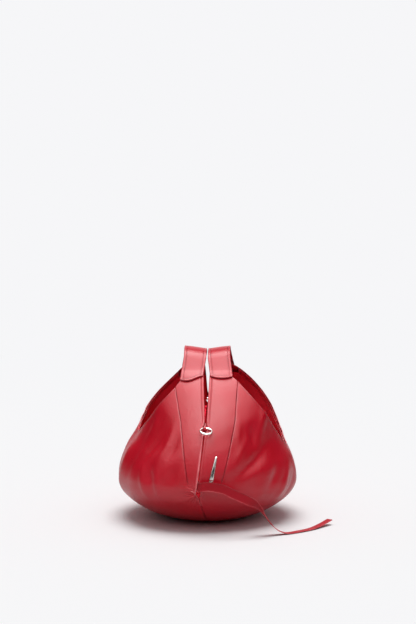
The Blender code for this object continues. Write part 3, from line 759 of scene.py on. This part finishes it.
def make_loop(end):
    """The leather loop that stands out of the hole round the ring."""
    point, outward, upward, sideways = seam_frame(ENDS[end])
    eye = WIRE_RADIUS + LOOP_CLEARANCE + LOOP_THICKNESS / 2
    centre = WIRE_RADIUS + LOOP_THICKNESS / 2 + 0.0003
    tab = 0.0018 + 0.0003 + LOOP_THICKNESS / 2 + 0.0003
    half = [
        Vector((-tab, LOOP_TAB)),
        Vector((-tab, LOOP_TAB * 0.5)),
        Vector((-tab * 0.7, eye * 1.15)),
        Vector((0.0, eye * 0.95)),
        Vector((centre, eye)),
        Vector((centre + eye * 0.71, eye * 0.71)),
    ]
    route = half + [Vector((centre + eye, 0.0))] + [Vector((p.x, -p.y)) for p in reversed(half)]
    spots = [smooth_point(route, share) for share in np.linspace(0.0, 1.0, 90)]
    middle = np.array([point + outward * spot.x + upward * spot.y for spot in spots])
    directions = np.broadcast_to(np.array(sideways), middle.shape)
    widths = np.full(len(middle), LOOP_HALF_WIDTH)
    made = band(end + "_loop_leather", middle, widths, directions, LOOP_THICKNESS, 1, 6)
    return dress(made, "shell_leather", "bag", end + "_ring_loop")


def make_ring(end):
    """A polished wire ring that stands out of its loop, drooping and turned a little to one side."""
    point, outward, _, _ = seam_frame(ENDS[end])
    pivot = point + outward * (WIRE_RADIUS + LOOP_THICKNESS / 2 + 0.0003)
    level = Vector((math.sin(RING_TURN), -math.cos(RING_TURN), 0.0)) * (1.0 if ENDS[end] else -1.0)
    droop = RING_DROOP if ENDS[end] else REAR_RING_DROOP
    out = level * math.cos(droop) - Vector((0.0, 0.0, math.sin(droop)))
    tangent = level.cross(Vector((0.0, 0.0, 1.0)))
    axis = out.cross(tangent)
    mesh = bmesh.new()
    bmesh.ops.create_circle(mesh, cap_ends=False, segments=20, radius=WIRE_RADIUS)
    turn = Matrix((out, axis, tangent)).transposed().to_4x4()
    place = Matrix.Translation(pivot + out * 2 * RING_RADIUS) @ turn
    bmesh.ops.transform(mesh, matrix=place, verts=mesh.verts[:])
    around = {"cent": pivot + out * RING_RADIUS, "axis": axis, "angle": 2 * math.pi, "steps": 80}
    bmesh.ops.spin(mesh, geom=mesh.verts[:] + mesh.edges[:], **around, use_merge=True)
    bmesh.ops.remove_doubles(mesh, verts=mesh.verts[:], dist=1e-6)
    bmesh.ops.recalc_face_normals(mesh, faces=mesh.faces[:])
    made = mesh_object(end + "_ring_wire", mesh)
    return dress(made, "polished_nickel", end + "_ring", end + "_ring", slot="metal")


def pull_route():
    tilt = math.atan2(SEAM_LEAN - float(-lean(np.array(RING_HEIGHT))), RING_HEIGHT - END_BELLY_HEIGHT)
    zip_up = Vector((math.sin(tilt), 0.0, math.cos(tilt)))
    centre = Vector((-SEAM_LEAN, END_ARC_RADIUS - BELLY_HALF_DEPTH, END_BELLY_HEIGHT))
    angle = math.asin(0.001 / (END_ARC_RADIUS * math.cos(tilt)))
    out = Vector((0.0, -math.cos(angle), 0.0)) + zip_up * math.sin(angle)
    root = centre + out * END_ARC_RADIUS
    route = [
        root,
        root + Vector((0.0, -0.0050, 0.0)),
        root + Vector((0.0042, -0.0098, 0.0012)),
        *(Vector(spot) for spot in PULL_ROUTE),
    ]
    return route, zip_up


def make_pull():
    """The long leather pull: out of the slit on edge, round to the right, down, and along the floor."""
    route, zip_up = pull_route()
    shares = np.linspace(0.0, 1.0, 190)
    spots = [smooth_point(route, share) for share in shares]
    directions = []
    for share in shares:
        ahead = smooth_point(route, min(share + 1e-3, 1.0)) - smooth_point(route, max(share - 1e-3, 0.0))
        ahead.normalize()
        flat = ahead.cross(Vector((0.0, 0.0, 1.0))).normalized()
        upright = flat.cross(ahead).normalized()
        upright = zip_up.lerp(upright, min(share / PULL_ROOT_SHARE, 1.0)).normalized()
        turn = float(soft_step(PULL_TURN_START, PULL_TURN_STOP, share)) * math.pi / 2
        directions.append(upright * math.cos(turn) + flat * math.sin(turn))
    middle = np.array(spots)
    steps = np.linalg.norm(np.diff(middle, axis=0), axis=1)
    from_tip = np.sum(steps) - np.concatenate([[0.0], np.cumsum(steps)])
    blunt = np.sqrt(np.clip(1.0 - (1.0 - np.clip(from_tip / 0.0022, 0.0, 1.0)) ** 2, 0.0, 1.0))
    taper = 1.0 - 0.26 * soft_step(0.45, 0.75, shares)
    widths = PULL_WIDTH / 2 * taper * (0.80 + 0.20 * blunt)
    made = band("pull_leather", middle, widths, np.array(directions), PULL_THICKNESS, 1, 10)
    made.data.materials.append(bpy.data.materials["pull_leather_finish"])
    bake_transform(made, "slider", "bag", start=(0.045, -0.125, 0.051), end=(0.086, -0.1195, 0.012))
    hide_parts("zip_pull")
    return made


def make_trim():
    """A plain tapered metal bar that follows the right strip."""
    share = np.linspace(0.0, 1.0, 40)
    height = TRIM_LOW + (TRIM_HIGH - TRIM_LOW) * share
    distance = TRIM_OFFSET + TRIM_LEAN * (share - 0.5)
    angles = -angle_at(1, height, distance)
    flat = shell(1, height, np.ones(share.shape), angles)
    step = shell(1, height, np.ones(share.shape), -angle_at(1, height, distance + 0.001))
    directions = step - flat
    directions = directions / np.linalg.norm(directions, axis=1, keepdims=True)
    along = np.gradient(flat, axis=0)
    normals = np.cross(directions, along)
    normals = normals / np.linalg.norm(normals, axis=1, keepdims=True)
    out = fold_depth(1, height, angles, flat)[:, None]
    middle = flat + normals * (out + 0.0002 + TRIM_THICKNESS / 2)
    ends = np.minimum(share, 1.0 - share) * (TRIM_HIGH - TRIM_LOW)
    blunt = np.sqrt(np.clip(1.0 - (1.0 - np.clip(ends / 0.0012, 0.0, 1.0)) ** 2, 0.0, 1.0))
    widths = TRIM_HALF_WIDTH * (1.0 - (1.0 - TRIM_TOP_SHARE) * share) * (0.55 + 0.45 * blunt)
    made = band("trim_bar_metal", middle, widths, directions, TRIM_THICKNESS, 1, 4)
    return dress(made, "polished_nickel", "bag", "trim_bar", slot="metal")


# Stitches


def stitch_places(points, normals, pitch):
    steps = np.linalg.norm(np.diff(points, axis=0), axis=1)
    along = np.concatenate([[0.0], np.cumsum(steps)])
    for at in np.arange(pitch / 2, along[-1], pitch):
        spot = Vector([np.interp(at, along, points[:, axis]) for axis in range(3)])
        ahead = Vector([np.interp(at + pitch / 4, along, points[:, axis]) for axis in range(3)])
        behind = Vector([np.interp(at - pitch / 4, along, points[:, axis]) for axis in range(3)])
        out = Vector([np.interp(at, along, normals[:, axis]) for axis in range(3)])
        yield spot, (ahead - behind).normalized(), out.normalized()


def make_stitches(family):
    """All the stitches of one family, each a small rounded thread end to end with its holes."""
    sizes = bpy.context.scene.bag_sizes
    mesh = bmesh.new()
    for points, normals in STITCH_LINES[family]:
        for spot, ahead, out in stitch_places(points, normals, sizes.stitch_pitch):
            side = ahead.cross(out).normalized()
            out = side.cross(ahead).normalized()
            half = Vector((sizes.stitch_width / 2, sizes.stitch_width * 0.45, sizes.stitch_length / 2))
            turn = Matrix((side * half.x, out * half.y, ahead * half.z)).transposed().to_4x4()
            place = Matrix.Translation(spot + out * 0.00005) @ turn
            bmesh.ops.create_uvsphere(mesh, u_segments=6, v_segments=5, radius=1.0, matrix=place)
    return dress(mesh_object(family, mesh), "waxed_thread", "bag")


# Finishes


def add(tree, kind, **settings):
    """A node with its settings; a number or colour for a socket is given as in_Name."""
    node = tree.nodes.new("ShaderNode" + kind)
    for key, value in settings.items():
        if key.startswith("in_"):
            node.inputs[key[3:].replace("_", " ")].default_value = value
        else:
            setattr(node, key, value)
    return node


def feed(tree, socket, value):
    """Links a socket to another one's value, or sets it to a number or a colour."""
    if isinstance(value, bpy.types.NodeSocket):
        tree.links.new(value, socket)
    elif isinstance(value, (int, float)):
        socket.default_value = value
    else:
        socket.default_value = (*value, 1.0)


def connect(tree, node, **values):
    """Feeds a node's sockets by name."""
    for key, value in values.items():
        feed(tree, node.inputs[key.replace("_", " ")], value)
    return node


def maths(tree, operation, first, second=0.0):
    node = add(tree, "Math", operation=operation)
    feed(tree, node.inputs[0], first)
    feed(tree, node.inputs[1], second)
    return node.outputs[0]


def plus(tree, first, *values):
    for value in values:
        first = maths(tree, "ADD", first, value)
    return first


def times(tree, first, *values):
    for value in values:
        first = maths(tree, "MULTIPLY", first, value)
    return first


def own_place(tree):
    """The piece's own coordinates."""
    return add(tree, "TexCoord").outputs["Object"]


def noise(tree, vector, scale, detail, roughness=0.5, twist=0.0):
    node = add(tree, "TexNoise", in_Detail=detail, in_Roughness=roughness, in_Distortion=twist)
    return connect(tree, node, Vector=vector, Scale=scale).outputs["Fac"]


def spread(tree, value, low, high, to_low=0.0, to_high=1.0):
    node = add(tree, "MapRange", clamp=True)
    tree.links.new(value, node.inputs[0])
    for socket, number in zip(list(node.inputs)[1:5], (low, high, to_low, to_high)):
        socket.default_value = number
    return node.outputs[0]


def mix_colour(tree, share, first, second):
    node = add(tree, "Mix", data_type="RGBA")
    for key, value in (("Factor", share), (6, first), (7, second)):
        feed(tree, node.inputs[key], value)
    return node.outputs[2]


def new_group(name, inputs, outputs):
    tree = bpy.data.node_groups.new(name, "ShaderNodeTree")
    for label, default in inputs.items():
        socket = tree.interface.new_socket(label, in_out="INPUT", socket_type="NodeSocketFloat")
        socket.default_value = default
    for label in outputs:
        tree.interface.new_socket(label, in_out="OUTPUT", socket_type="NodeSocketFloat")
    return tree, tree.nodes.new("NodeGroupInput"), tree.nodes.new("NodeGroupOutput")


def leather_grain():
    """Fine pebbled pores, hair lines and soft wrinkles. Height is in millimetres."""
    tree, given, result = new_group(
        "leather_grain", {"Grain Size": 0.0009, "Wrinkle Size": 0.014}, ("Height", "Tone", "Pores")
    )
    place = own_place(tree)
    grain_scale = maths(tree, "DIVIDE", 1.0, given.outputs["Grain Size"])
    wrinkle_scale = maths(tree, "DIVIDE", 1.0, given.outputs["Wrinkle Size"])
    cells = add(tree, "TexVoronoi", feature="DISTANCE_TO_EDGE")
    connect(tree, cells, Vector=place, Scale=grain_scale)
    pebble = spread(tree, cells.outputs["Distance"], 0.0, 0.22)
    fine = noise(tree, place, times(tree, grain_scale, 0.45), 3.0)
    pebble = times(tree, pebble, spread(tree, fine, 0.3, 0.7, 0.35, 1.0))
    wrinkle = noise(tree, place, wrinkle_scale, 4.0, 0.55, 0.6)
    ridge = maths(tree, "ABSOLUTE", maths(tree, "SUBTRACT", wrinkle, 0.5))
    ridge = spread(tree, ridge, 0.0, 0.16)
    slow = noise(tree, place, 17.0, 3.0, 0.6)
    height = plus(tree, times(tree, pebble, 0.018), times(tree, ridge, 0.05), times(tree, wrinkle, 0.30))
    connect(tree, result, Height=height, Tone=slow, Pores=pebble)


def hole_gathers():
    """Fine creases that run out from the pull's hole. Height is in millimetres."""
    tree, given, result = new_group("hole_gathers", {"Lines": 27.0}, ("Height",))
    place = own_place(tree)
    parts = connect(tree, add(tree, "SeparateXYZ"), Vector=place)
    across = plus(tree, parts.outputs["X"], SEAM_LEAN - 0.001)
    up = maths(tree, "SUBTRACT", parts.outputs["Z"], PULL_HOLE_HEIGHT + 0.004)
    swayed = times(tree, noise(tree, place, 70.0, 2.0), 0.9)
    ray = plus(tree, maths(tree, "ARCTAN2", up, across), swayed)
    waves = maths(tree, "SINE", times(tree, ray, given.outputs["Lines"]))
    squares = plus(tree, times(tree, across, across), times(tree, up, up))
    away = maths(tree, "SQRT", squares)
    near = times(
        tree,
        spread(tree, away, 0.003, 0.008, 0.0, 1.0),
        spread(tree, away, 0.010, 0.026, 1.0, 0.0),
        spread(tree, parts.outputs["Y"], -0.06, -0.07, 0.0, 1.0),
        spread(tree, across, -0.002, 0.006, 1.0, 0.35),
        spread(tree, up, -0.002, 0.010, 1.0, 0.3),
        0.26,
    )
    connect(tree, result, Height=times(tree, waves, near))


def wear_highlight_and_crease_shade():
    """Masks for worn edges with a painted highlight on raised lips, and for the painted shade that gathers in
    creases, from the sheet's own attributes.
    """
    tree, given, result = new_group("wear_highlight_and_crease_shade", {"Breakup": 90.0}, ("Rubbed", "Shade"))
    uneven = noise(tree, own_place(tree), given.outputs["Breakup"], 3.0)
    patch = spread(tree, uneven, 0.35, 0.65, 0.45, 1.0)
    edges, creases = (add(tree, "Attribute", attribute_name=key).outputs["Fac"] for key in MARKS)
    connect(tree, result, Rubbed=times(tree, edges, patch), Shade=times(tree, creases, patch))


def cloth_weave():
    """Over and under threads along the sheet's own lengths."""
    tree, given, result = new_group("cloth_weave", {"Thread": 0.0005}, ("Height", "Gap"))
    lengths = add(tree, "UVMap", uv_map="lengths").outputs["UV"]
    parts = connect(tree, add(tree, "SeparateXYZ"), Vector=lengths)
    waves = []
    for axis in ("X", "Y"):
        turns = maths(tree, "DIVIDE", parts.outputs[axis], given.outputs["Thread"])
        waves.append(maths(tree, "SINE", times(tree, turns, math.pi)))
    over = times(tree, *waves)
    gap = spread(tree, maths(tree, "ABSOLUTE", over), 0.0, 0.35, 1.0, 0.0)
    connect(tree, result, Height=spread(tree, over, -1.0, 1.0), Gap=gap)


def fine_scratches():
    """Hair scratches and soft smears on polished metal."""
    tree, given, result = new_group("fine_scratches", {"Scale": 900.0}, ("Height", "Smear"))
    place = own_place(tree)
    stretch = add(tree, "Mapping", in_Scale=(0.25, 1.0, 0.18), in_Rotation=(0.5, 0.2, 0.3))
    connect(tree, stretch, Vector=place)
    hair = noise(tree, stretch.outputs["Vector"], given.outputs["Scale"], 2.0)
    connect(tree, result, Height=hair, Smear=noise(tree, place, 160.0, 3.0))


def material(name, **settings):
    made = bpy.data.materials.new(name)
    made.use_nodes = True
    tree = made.node_tree
    shader = tree.nodes["Principled BSDF"]
    for key, value in settings.items():
        shader.inputs[key.replace("_", " ")].default_value = value
    return tree, shader


def put_group(tree, name, **values):
    node = tree.nodes.new("ShaderNodeGroup")
    node.node_tree = bpy.data.node_groups[name]
    for key, value in values.items():
        node.inputs[key.replace("_", " ")].default_value = value
    return node


def bump(tree, shader, height, distance, strength=1.0):
    node = connect(tree, add(tree, "Bump", in_Distance=distance, in_Strength=strength), Height=height)
    connect(tree, shader, Normal=node.outputs["Normal"])


def leather_finish(name, strength, rough_low, rough_high, lift=1.0, gloss=0.5):
    colours = bpy.context.scene.bag_colours
    # Lift scales the leather's colours: above 1 it paints light onto a piece that sits in shade, below 1 it
    # paints shade onto it.
    main, deep = ([c * lift for c in tint] for tint in (colours.leather, colours.leather_deep))
    sizes = bpy.context.scene.bag_sizes
    tree, shader = material(name, Specular_IOR_Level=gloss)
    grain = put_group(tree, "leather_grain", Grain_Size=sizes.grain, Wrinkle_Size=sizes.wrinkle)
    edge_and_crease_marks = put_group(tree, "wear_highlight_and_crease_shade")
    tone = spread(tree, grain.outputs["Tone"], 0.32, 0.68)
    colour = mix_colour(tree, tone, deep, main)
    pores = spread(tree, grain.outputs["Pores"], 0.0, 0.5, 0.10, 0.0)
    colour = mix_colour(tree, pores, colour, colours.leather_shade)
    # Painted shade darkens the creases and seams; the lighter mix marks worn edges and paints a highlight on
    # raised lips.
    shade = times(tree, edge_and_crease_marks.outputs["Shade"], 0.75)
    colour = mix_colour(tree, shade, colour, colours.leather_shade)
    rubbed_and_highlight = times(tree, edge_and_crease_marks.outputs["Rubbed"], 0.34)
    colour = mix_colour(tree, rubbed_and_highlight, colour, colours.leather_rubbed_and_highlight)
    rough = spread(tree, grain.outputs["Tone"], 0.3, 0.7, rough_low, rough_high)
    connect(tree, shader, Base_Color=colour, Roughness=rough)
    gathers = put_group(tree, "hole_gathers")
    height = plus(tree, grain.outputs["Height"], gathers.outputs["Height"])
    bump(tree, shader, height, 0.001, strength)


def cloth_finish(name, colour, shade, thread):
    tree, shader = material(name, Roughness=0.85, Specular_IOR_Level=0.1)
    weave = put_group(tree, "cloth_weave", Thread=thread)
    grain = put_group(tree, "leather_grain", Grain_Size=0.002, Wrinkle_Size=0.02)
    tone = spread(tree, grain.outputs["Tone"], 0.3, 0.7, 0.0, 0.5)
    mixed = mix_colour(tree, tone, colour, shade)
    mixed = mix_colour(tree, times(tree, weave.outputs["Gap"], 0.5), mixed, shade)
    connect(tree, shader, Base_Color=mixed)
    bump(tree, shader, weave.outputs["Height"], 0.00012)


def tape_finish(name, colour, shade):
    """Ribbed tape: the frame's own piece has no lengths, so its ribs read its place."""
    tree, shader = material(name, Roughness=0.85, Specular_IOR_Level=0.2)
    place = own_place(tree)
    waves = add(tree, "TexWave", bands_direction="Z", in_Scale=330.0)
    ribs = connect(tree, waves, Vector=place).outputs["Fac"]
    connect(tree, shader, Base_Color=mix_colour(tree, ribs, shade, colour))
    bump(tree, shader, plus(tree, ribs, noise(tree, place, 1500.0, 2.0)), 0.00008)


def metal_finish(name, colour, rough_low, rough_high):
    tree, shader = material(name, Metallic=1.0)
    marks = put_group(tree, "fine_scratches")
    tint = mix_colour(tree, marks.outputs["Smear"], colour, [c * 0.86 for c in colour])
    rough = spread(tree, marks.outputs["Smear"], 0.3, 0.7, rough_low, rough_high)
    connect(tree, shader, Base_Color=tint, Roughness=rough)
    bump(tree, shader, marks.outputs["Height"], 0.000012)


def thread_finish():
    colours = bpy.context.scene.bag_colours
    tree, shader = material("waxed_thread", Roughness=0.45, Specular_IOR_Level=0.4)
    waves = add(tree, "TexWave", bands_direction="DIAGONAL", in_Scale=1400.0, in_Distortion=0.4)
    twist = connect(tree, waves, Vector=own_place(tree)).outputs["Fac"]
    tint = mix_colour(tree, twist, colours.thread, [c * 0.6 for c in colours.thread])
    connect(tree, shader, Base_Color=tint)
    bump(tree, shader, twist, 0.00006)


# Settings


def length(name, description, default):
    told = {"name": name, "description": description, "default": default}
    return FloatProperty(**told, min=0.0, unit="LENGTH", precision=5)


def colour(name, description, default):
    return FloatVectorProperty(
        name=name, description=description, default=default, size=3, min=0.0, max=1.0, subtype="COLOR"
    )


class BagSizes(PropertyGroup):
    leather: length("Leather", "Thickness of the shell's leather", 0.0018)
    crease_inset: length("Crease inset", "Distance of the crease lines from the edges", 0.0037)
    crease_depth: length("Crease depth", "Depth of the pressed crease lines", 0.00045)
    hem_inset: length("Hem inset", "Distance of the rim's stitches from the rim", 0.0029)
    stitch_pitch: length("Stitch pitch", "Distance from one stitch to the next", 0.0034)
    stitch_length: length("Stitch length", "Length of one stitch", 0.0026)
    stitch_width: length("Stitch width", "Width of the thread", 0.00055)
    grain: length("Grain", "Size of the leather's pebbles", 0.0009)
    wrinkle: length("Wrinkle", "Size of the leather's soft wrinkles", 0.016)


class BagColours(PropertyGroup):
    leather: colour("Leather", "Main leather colour", (0.42, 0.002, 0.014))
    leather_deep: colour("Deep leather", "Leather colour in its deeper patches", (0.39, 0.002, 0.010))
    leather_shade: colour("Leather shade", "Colour in creases and pores", (0.17, 0.0, 0.005))
    # Also paints the highlight on the raised lips of the strips and handles.
    leather_rubbed_and_highlight: colour("Rubbed leather", "Colour on rubbed edges", (0.85, 0.24, 0.26))
    lining: colour("Lining", "Lining cloth", (0.80, 0.03, 0.055))
    lining_shade: colour("Lining shade", "Lining cloth between its threads", (0.60, 0.004, 0.018))
    thread: colour("Thread", "Stitching thread", (0.50, 0.03, 0.045))
    metal: colour("Metal", "Polished nickel", (0.78, 0.76, 0.72))
    teeth: colour("Zip teeth", "Red lacquered metal of the zip", (0.26, 0.006, 0.014))
    floor: colour("Floor", "Pale floor", (0.92, 0.92, 0.925))
    backdrop: colour("Backdrop", "Pale background", (0.922, 0.922, 0.938))


class BAG_OT_finishes(Operator):
    """Build the shared node groups and every finish"""

    bl_idname = "bag.finishes"
    bl_label = "Finishes"

    def execute(self, context):
        colours = context.scene.bag_colours
        for build in (leather_grain, hole_gathers, wear_highlight_and_crease_shade, cloth_weave, fine_scratches):
            build()
        leather_finish("shell_leather", 1.0, 0.29, 0.37)
        # The pull's leather is a darker copy of the shell's: painted shade.
        leather_finish("pull_leather_finish", 0.6, 0.40, 0.50, 0.72, 0.2)
        # The facing's leather is a lighter copy of the shell's: painted light inside the mouth.
        leather_finish("facing_leather", 0.8, 0.40, 0.50, 1.6)
        cloth_finish("lining_cloth", colours.lining, colours.lining_shade, 0.0006)
        tape_finish("zip_tape_cloth", colours.lining, colours.lining_shade)
        metal_finish("polished_nickel", colours.metal, 0.08, 0.20)
        metal_finish("zip_metal", colours.teeth, 0.30, 0.45)
        thread_finish()
        return {"FINISHED"}


class BAG_OT_pull(Operator):
    """Make the long leather pull"""

    bl_idname = "bag.pull"
    bl_label = "Leather pull"

    def execute(self, context):
        make_pull()
        return {"FINISHED"}


class BAG_OT_shell(Operator):
    """Make the side panels, rim facings, end strips and lining"""

    bl_idname = "bag.shell"
    bl_label = "Shell and lining"

    def execute(self, context):
        for name, side in SIDES.items():
            make_panel(name, side)
            make_facing(name, side)
            make_lining(name, side)
            for end in ENDS:
                make_strip(end, name, side)
        return {"FINISHED"}


class BAG_OT_handles(Operator):
    """Make the two short handles"""

    bl_idname = "bag.handles"
    bl_label = "Handles"

    def execute(self, context):
        for name, side in SIDES.items():
            make_handle(name, side)
        return {"FINISHED"}


class BAG_OT_rings(Operator):
    """Make the rings and their leather loops"""

    bl_idname = "bag.rings"
    bl_label = "Rings and loops"

    def execute(self, context):
        for end in ENDS:
            make_loop(end)
            make_ring(end)
        return {"FINISHED"}


class BAG_OT_metalwork(Operator):
    """Make the trim bar and finish the zip"""

    bl_idname = "bag.metalwork"
    bl_label = "Trim and zip"

    def execute(self, context):
        make_trim()
        for name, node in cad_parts.items():
            if not name.startswith("zip_") or name == "zip_pull":
                continue
            cloth = name.endswith("tape")
            node.material_slots[0].material = bpy.data.materials["zip_tape_cloth" if cloth else "zip_metal"]
        return {"FINISHED"}


class BAG_OT_stitches(Operator):
    """Sew the stitch lines that the other pieces left"""

    bl_idname = "bag.stitches"
    bl_label = "Stitches"

    def execute(self, context):
        for family in list(STITCH_LINES):
            make_stitches(family)
        return {"FINISHED"}


def outward_view():
    cos = math.cos(VIEW_ELEVATION)
    return Vector((math.sin(VIEW_AZIMUTH) * cos, -math.cos(VIEW_AZIMUTH) * cos, math.sin(VIEW_ELEVATION)))


class BAG_OT_stage(Operator):
    """Set up the camera, the soft light, the pale floor and the background"""

    bl_idname = "bag.stage"
    bl_label = "Stage"

    def execute(self, context):
        scene = context.scene
        colours = scene.bag_colours
        scene.view_settings.view_transform = "Standard"
        lens = bpy.data.cameras.new("camera")
        lens.lens = 36.0 * VIEW_DISTANCE / (LONG_SIDE * PIXEL)
        lens.shift_x, lens.shift_y = LENS_SHIFT
        lens.clip_end = 60.0
        camera = bpy.data.objects.new("camera", lens)
        camera.location = VIEW_CENTRE + outward_view() * VIEW_DISTANCE
        camera.rotation_euler = (-outward_view()).to_track_quat("-Z", "Y").to_euler()
        scene.collection.objects.link(camera)
        scene.camera = camera
        floor = self.make_floor(colours)
        flagged = bpy.data.collections.new("flagged_from_front_lamps")
        flagged.objects.link(floor)
        flagged.collection_objects[0].light_linking.link_state = "EXCLUDE"
        for name, energy, angle, tilt in LAMPS:
            light = bpy.data.lights.new(name, "SUN")
            light.energy = energy
            light.angle = math.radians(angle)
            lamp = bpy.data.objects.new(name, light)
            lamp.rotation_euler = (math.radians(tilt), 0.0, 0.0)
            scene.collection.objects.link(lamp)
            if name.startswith("front"):
                lamp.light_linking.receiver_collection = flagged
                lamp.visible_glossy = name == "front_top_softbox"
        self.make_world(scene, colours)
        return {"FINISHED"}

    def make_floor(self, colours):
        mesh = bmesh.new()
        bmesh.ops.create_circle(mesh, cap_ends=True, segments=96, radius=FLOOR_RADIUS)
        floor = mesh_object("floor", mesh)
        tree, shader = material("pale_floor", Roughness=1.0, Specular_IOR_Level=0.0)
        connect(tree, shader, Base_Color=tuple(colours.floor))
        far = add(tree, "Emission")
        blend = add(tree, "MixShader")
        away = add(tree, "VectorMath", operation="LENGTH")
        place = own_place(tree)
        connect(tree, away, Vector=place)
        parts = connect(tree, add(tree, "SeparateXYZ"), Vector=place)
        sideways = maths(tree, "ABSOLUTE", parts.outputs["X"])
        sideways = maths(tree, "SUBTRACT", sideways, times(tree, parts.outputs["Y"], 0.14))
        beside = spread(tree, sideways, 0.36, 0.60, 1.0, 0.0)
        before = spread(tree, parts.outputs["Y"], -1.3, -0.85)
        seen = times(tree, beside, before)
        seen = maths(tree, "MAXIMUM", seen, add(tree, "LightPath").outputs["Is Camera Ray"])
        connect(tree, far, Color=mix_colour(tree, seen, (0.0, 0.0, 0.0), tuple(colours.backdrop)))
        share = spread(tree, away.outputs["Value"], *FLOOR_FADE)
        tree.links.new(share, blend.inputs[0])
        tree.links.new(shader.outputs["BSDF"], blend.inputs[1])
        tree.links.new(far.outputs["Emission"], blend.inputs[2])
        tree.links.new(blend.outputs[0], tree.nodes["Material Output"].inputs["Surface"])
        floor.data.materials.append(bpy.data.materials["pale_floor"])
        return floor

    def make_world(self, scene, colours):
        world = bpy.data.worlds.new("pale_room")
        scene.world = world
        world.use_nodes = True
        tree = world.node_tree
        direction = add(tree, "TexCoord").outputs["Generated"]
        parts = connect(tree, add(tree, "SeparateXYZ"), Vector=direction)
        lift = plus(tree, parts.outputs["Z"], times(tree, parts.outputs["Y"], 0.3))
        share = spread(tree, lift, 0.05, 0.85)
        room = mix_colour(tree, share, (0.01, 0.01, 0.011), (0.50, 0.50, 0.51))
        path = add(tree, "LightPath")
        ahead = times(tree, parts.outputs["Y"], -0.35)
        shine = spread(tree, plus(tree, parts.outputs["Z"], ahead), 0.38, 0.78)
        gleam = mix_colour(tree, shine, (0.01, 0.01, 0.011), (2.8, 2.8, 2.82))
        room = mix_colour(tree, path.outputs["Is Glossy Ray"], room, gleam)
        mirrored = maths(tree, "MAXIMUM", path.outputs["Is Glossy Ray"], path.outputs["Is Transmission Ray"])
        mirrored = times(tree, mirrored, spread(tree, parts.outputs["Y"], 0.84, 0.97, 0.0, 1.0))
        direct = maths(tree, "MAXIMUM", path.outputs["Is Camera Ray"], mirrored)
        shade = mix_colour(tree, direct, room, tuple(colours.backdrop))
        connect(tree, tree.nodes["Background"], Color=shade, Strength=1.0)


STEPS = (
    BAG_OT_stage,
    BAG_OT_finishes,
    BAG_OT_pull,
    BAG_OT_shell,
    BAG_OT_handles,
    BAG_OT_rings,
    BAG_OT_metalwork,
    BAG_OT_stitches,
)


class BAG_PT_sidebar(Panel):
    """The bag's settings and the steps that make it"""

    bl_label = "Bag"
    bl_idname = "BAG_PT_sidebar"
    bl_space_type = "VIEW_3D"
    bl_region_type = "UI"
    bl_category = "Bag"

    def draw(self, context):
        layout = self.layout
        for step in STEPS:
            layout.operator(step.bl_idname)
        for group in (context.scene.bag_sizes, context.scene.bag_colours):
            box = layout.box()
            for key in group.__annotations__:
                box.prop(group, key)


CLASSES = (BagSizes, BagColours, *STEPS, BAG_PT_sidebar)


def register():
    for made in CLASSES:
        bpy.utils.register_class(made)
    bpy.types.Scene.bag_sizes = PointerProperty(type=BagSizes)
    bpy.types.Scene.bag_colours = PointerProperty(type=BagColours)


def unregister():
    del bpy.types.Scene.bag_colours
    del bpy.types.Scene.bag_sizes
    for made in reversed(CLASSES):
        bpy.utils.unregister_class(made)


def main():
    register()
    bpy.ops.bag.stage()
    bpy.ops.bag.finishes()
    bpy.ops.bag.pull()
    bpy.ops.bag.shell()
    bpy.ops.bag.handles()
    bpy.ops.bag.rings()
    bpy.ops.bag.metalwork()
    bpy.ops.bag.stitches()
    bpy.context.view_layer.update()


if __name__ == "__main__":
    main()
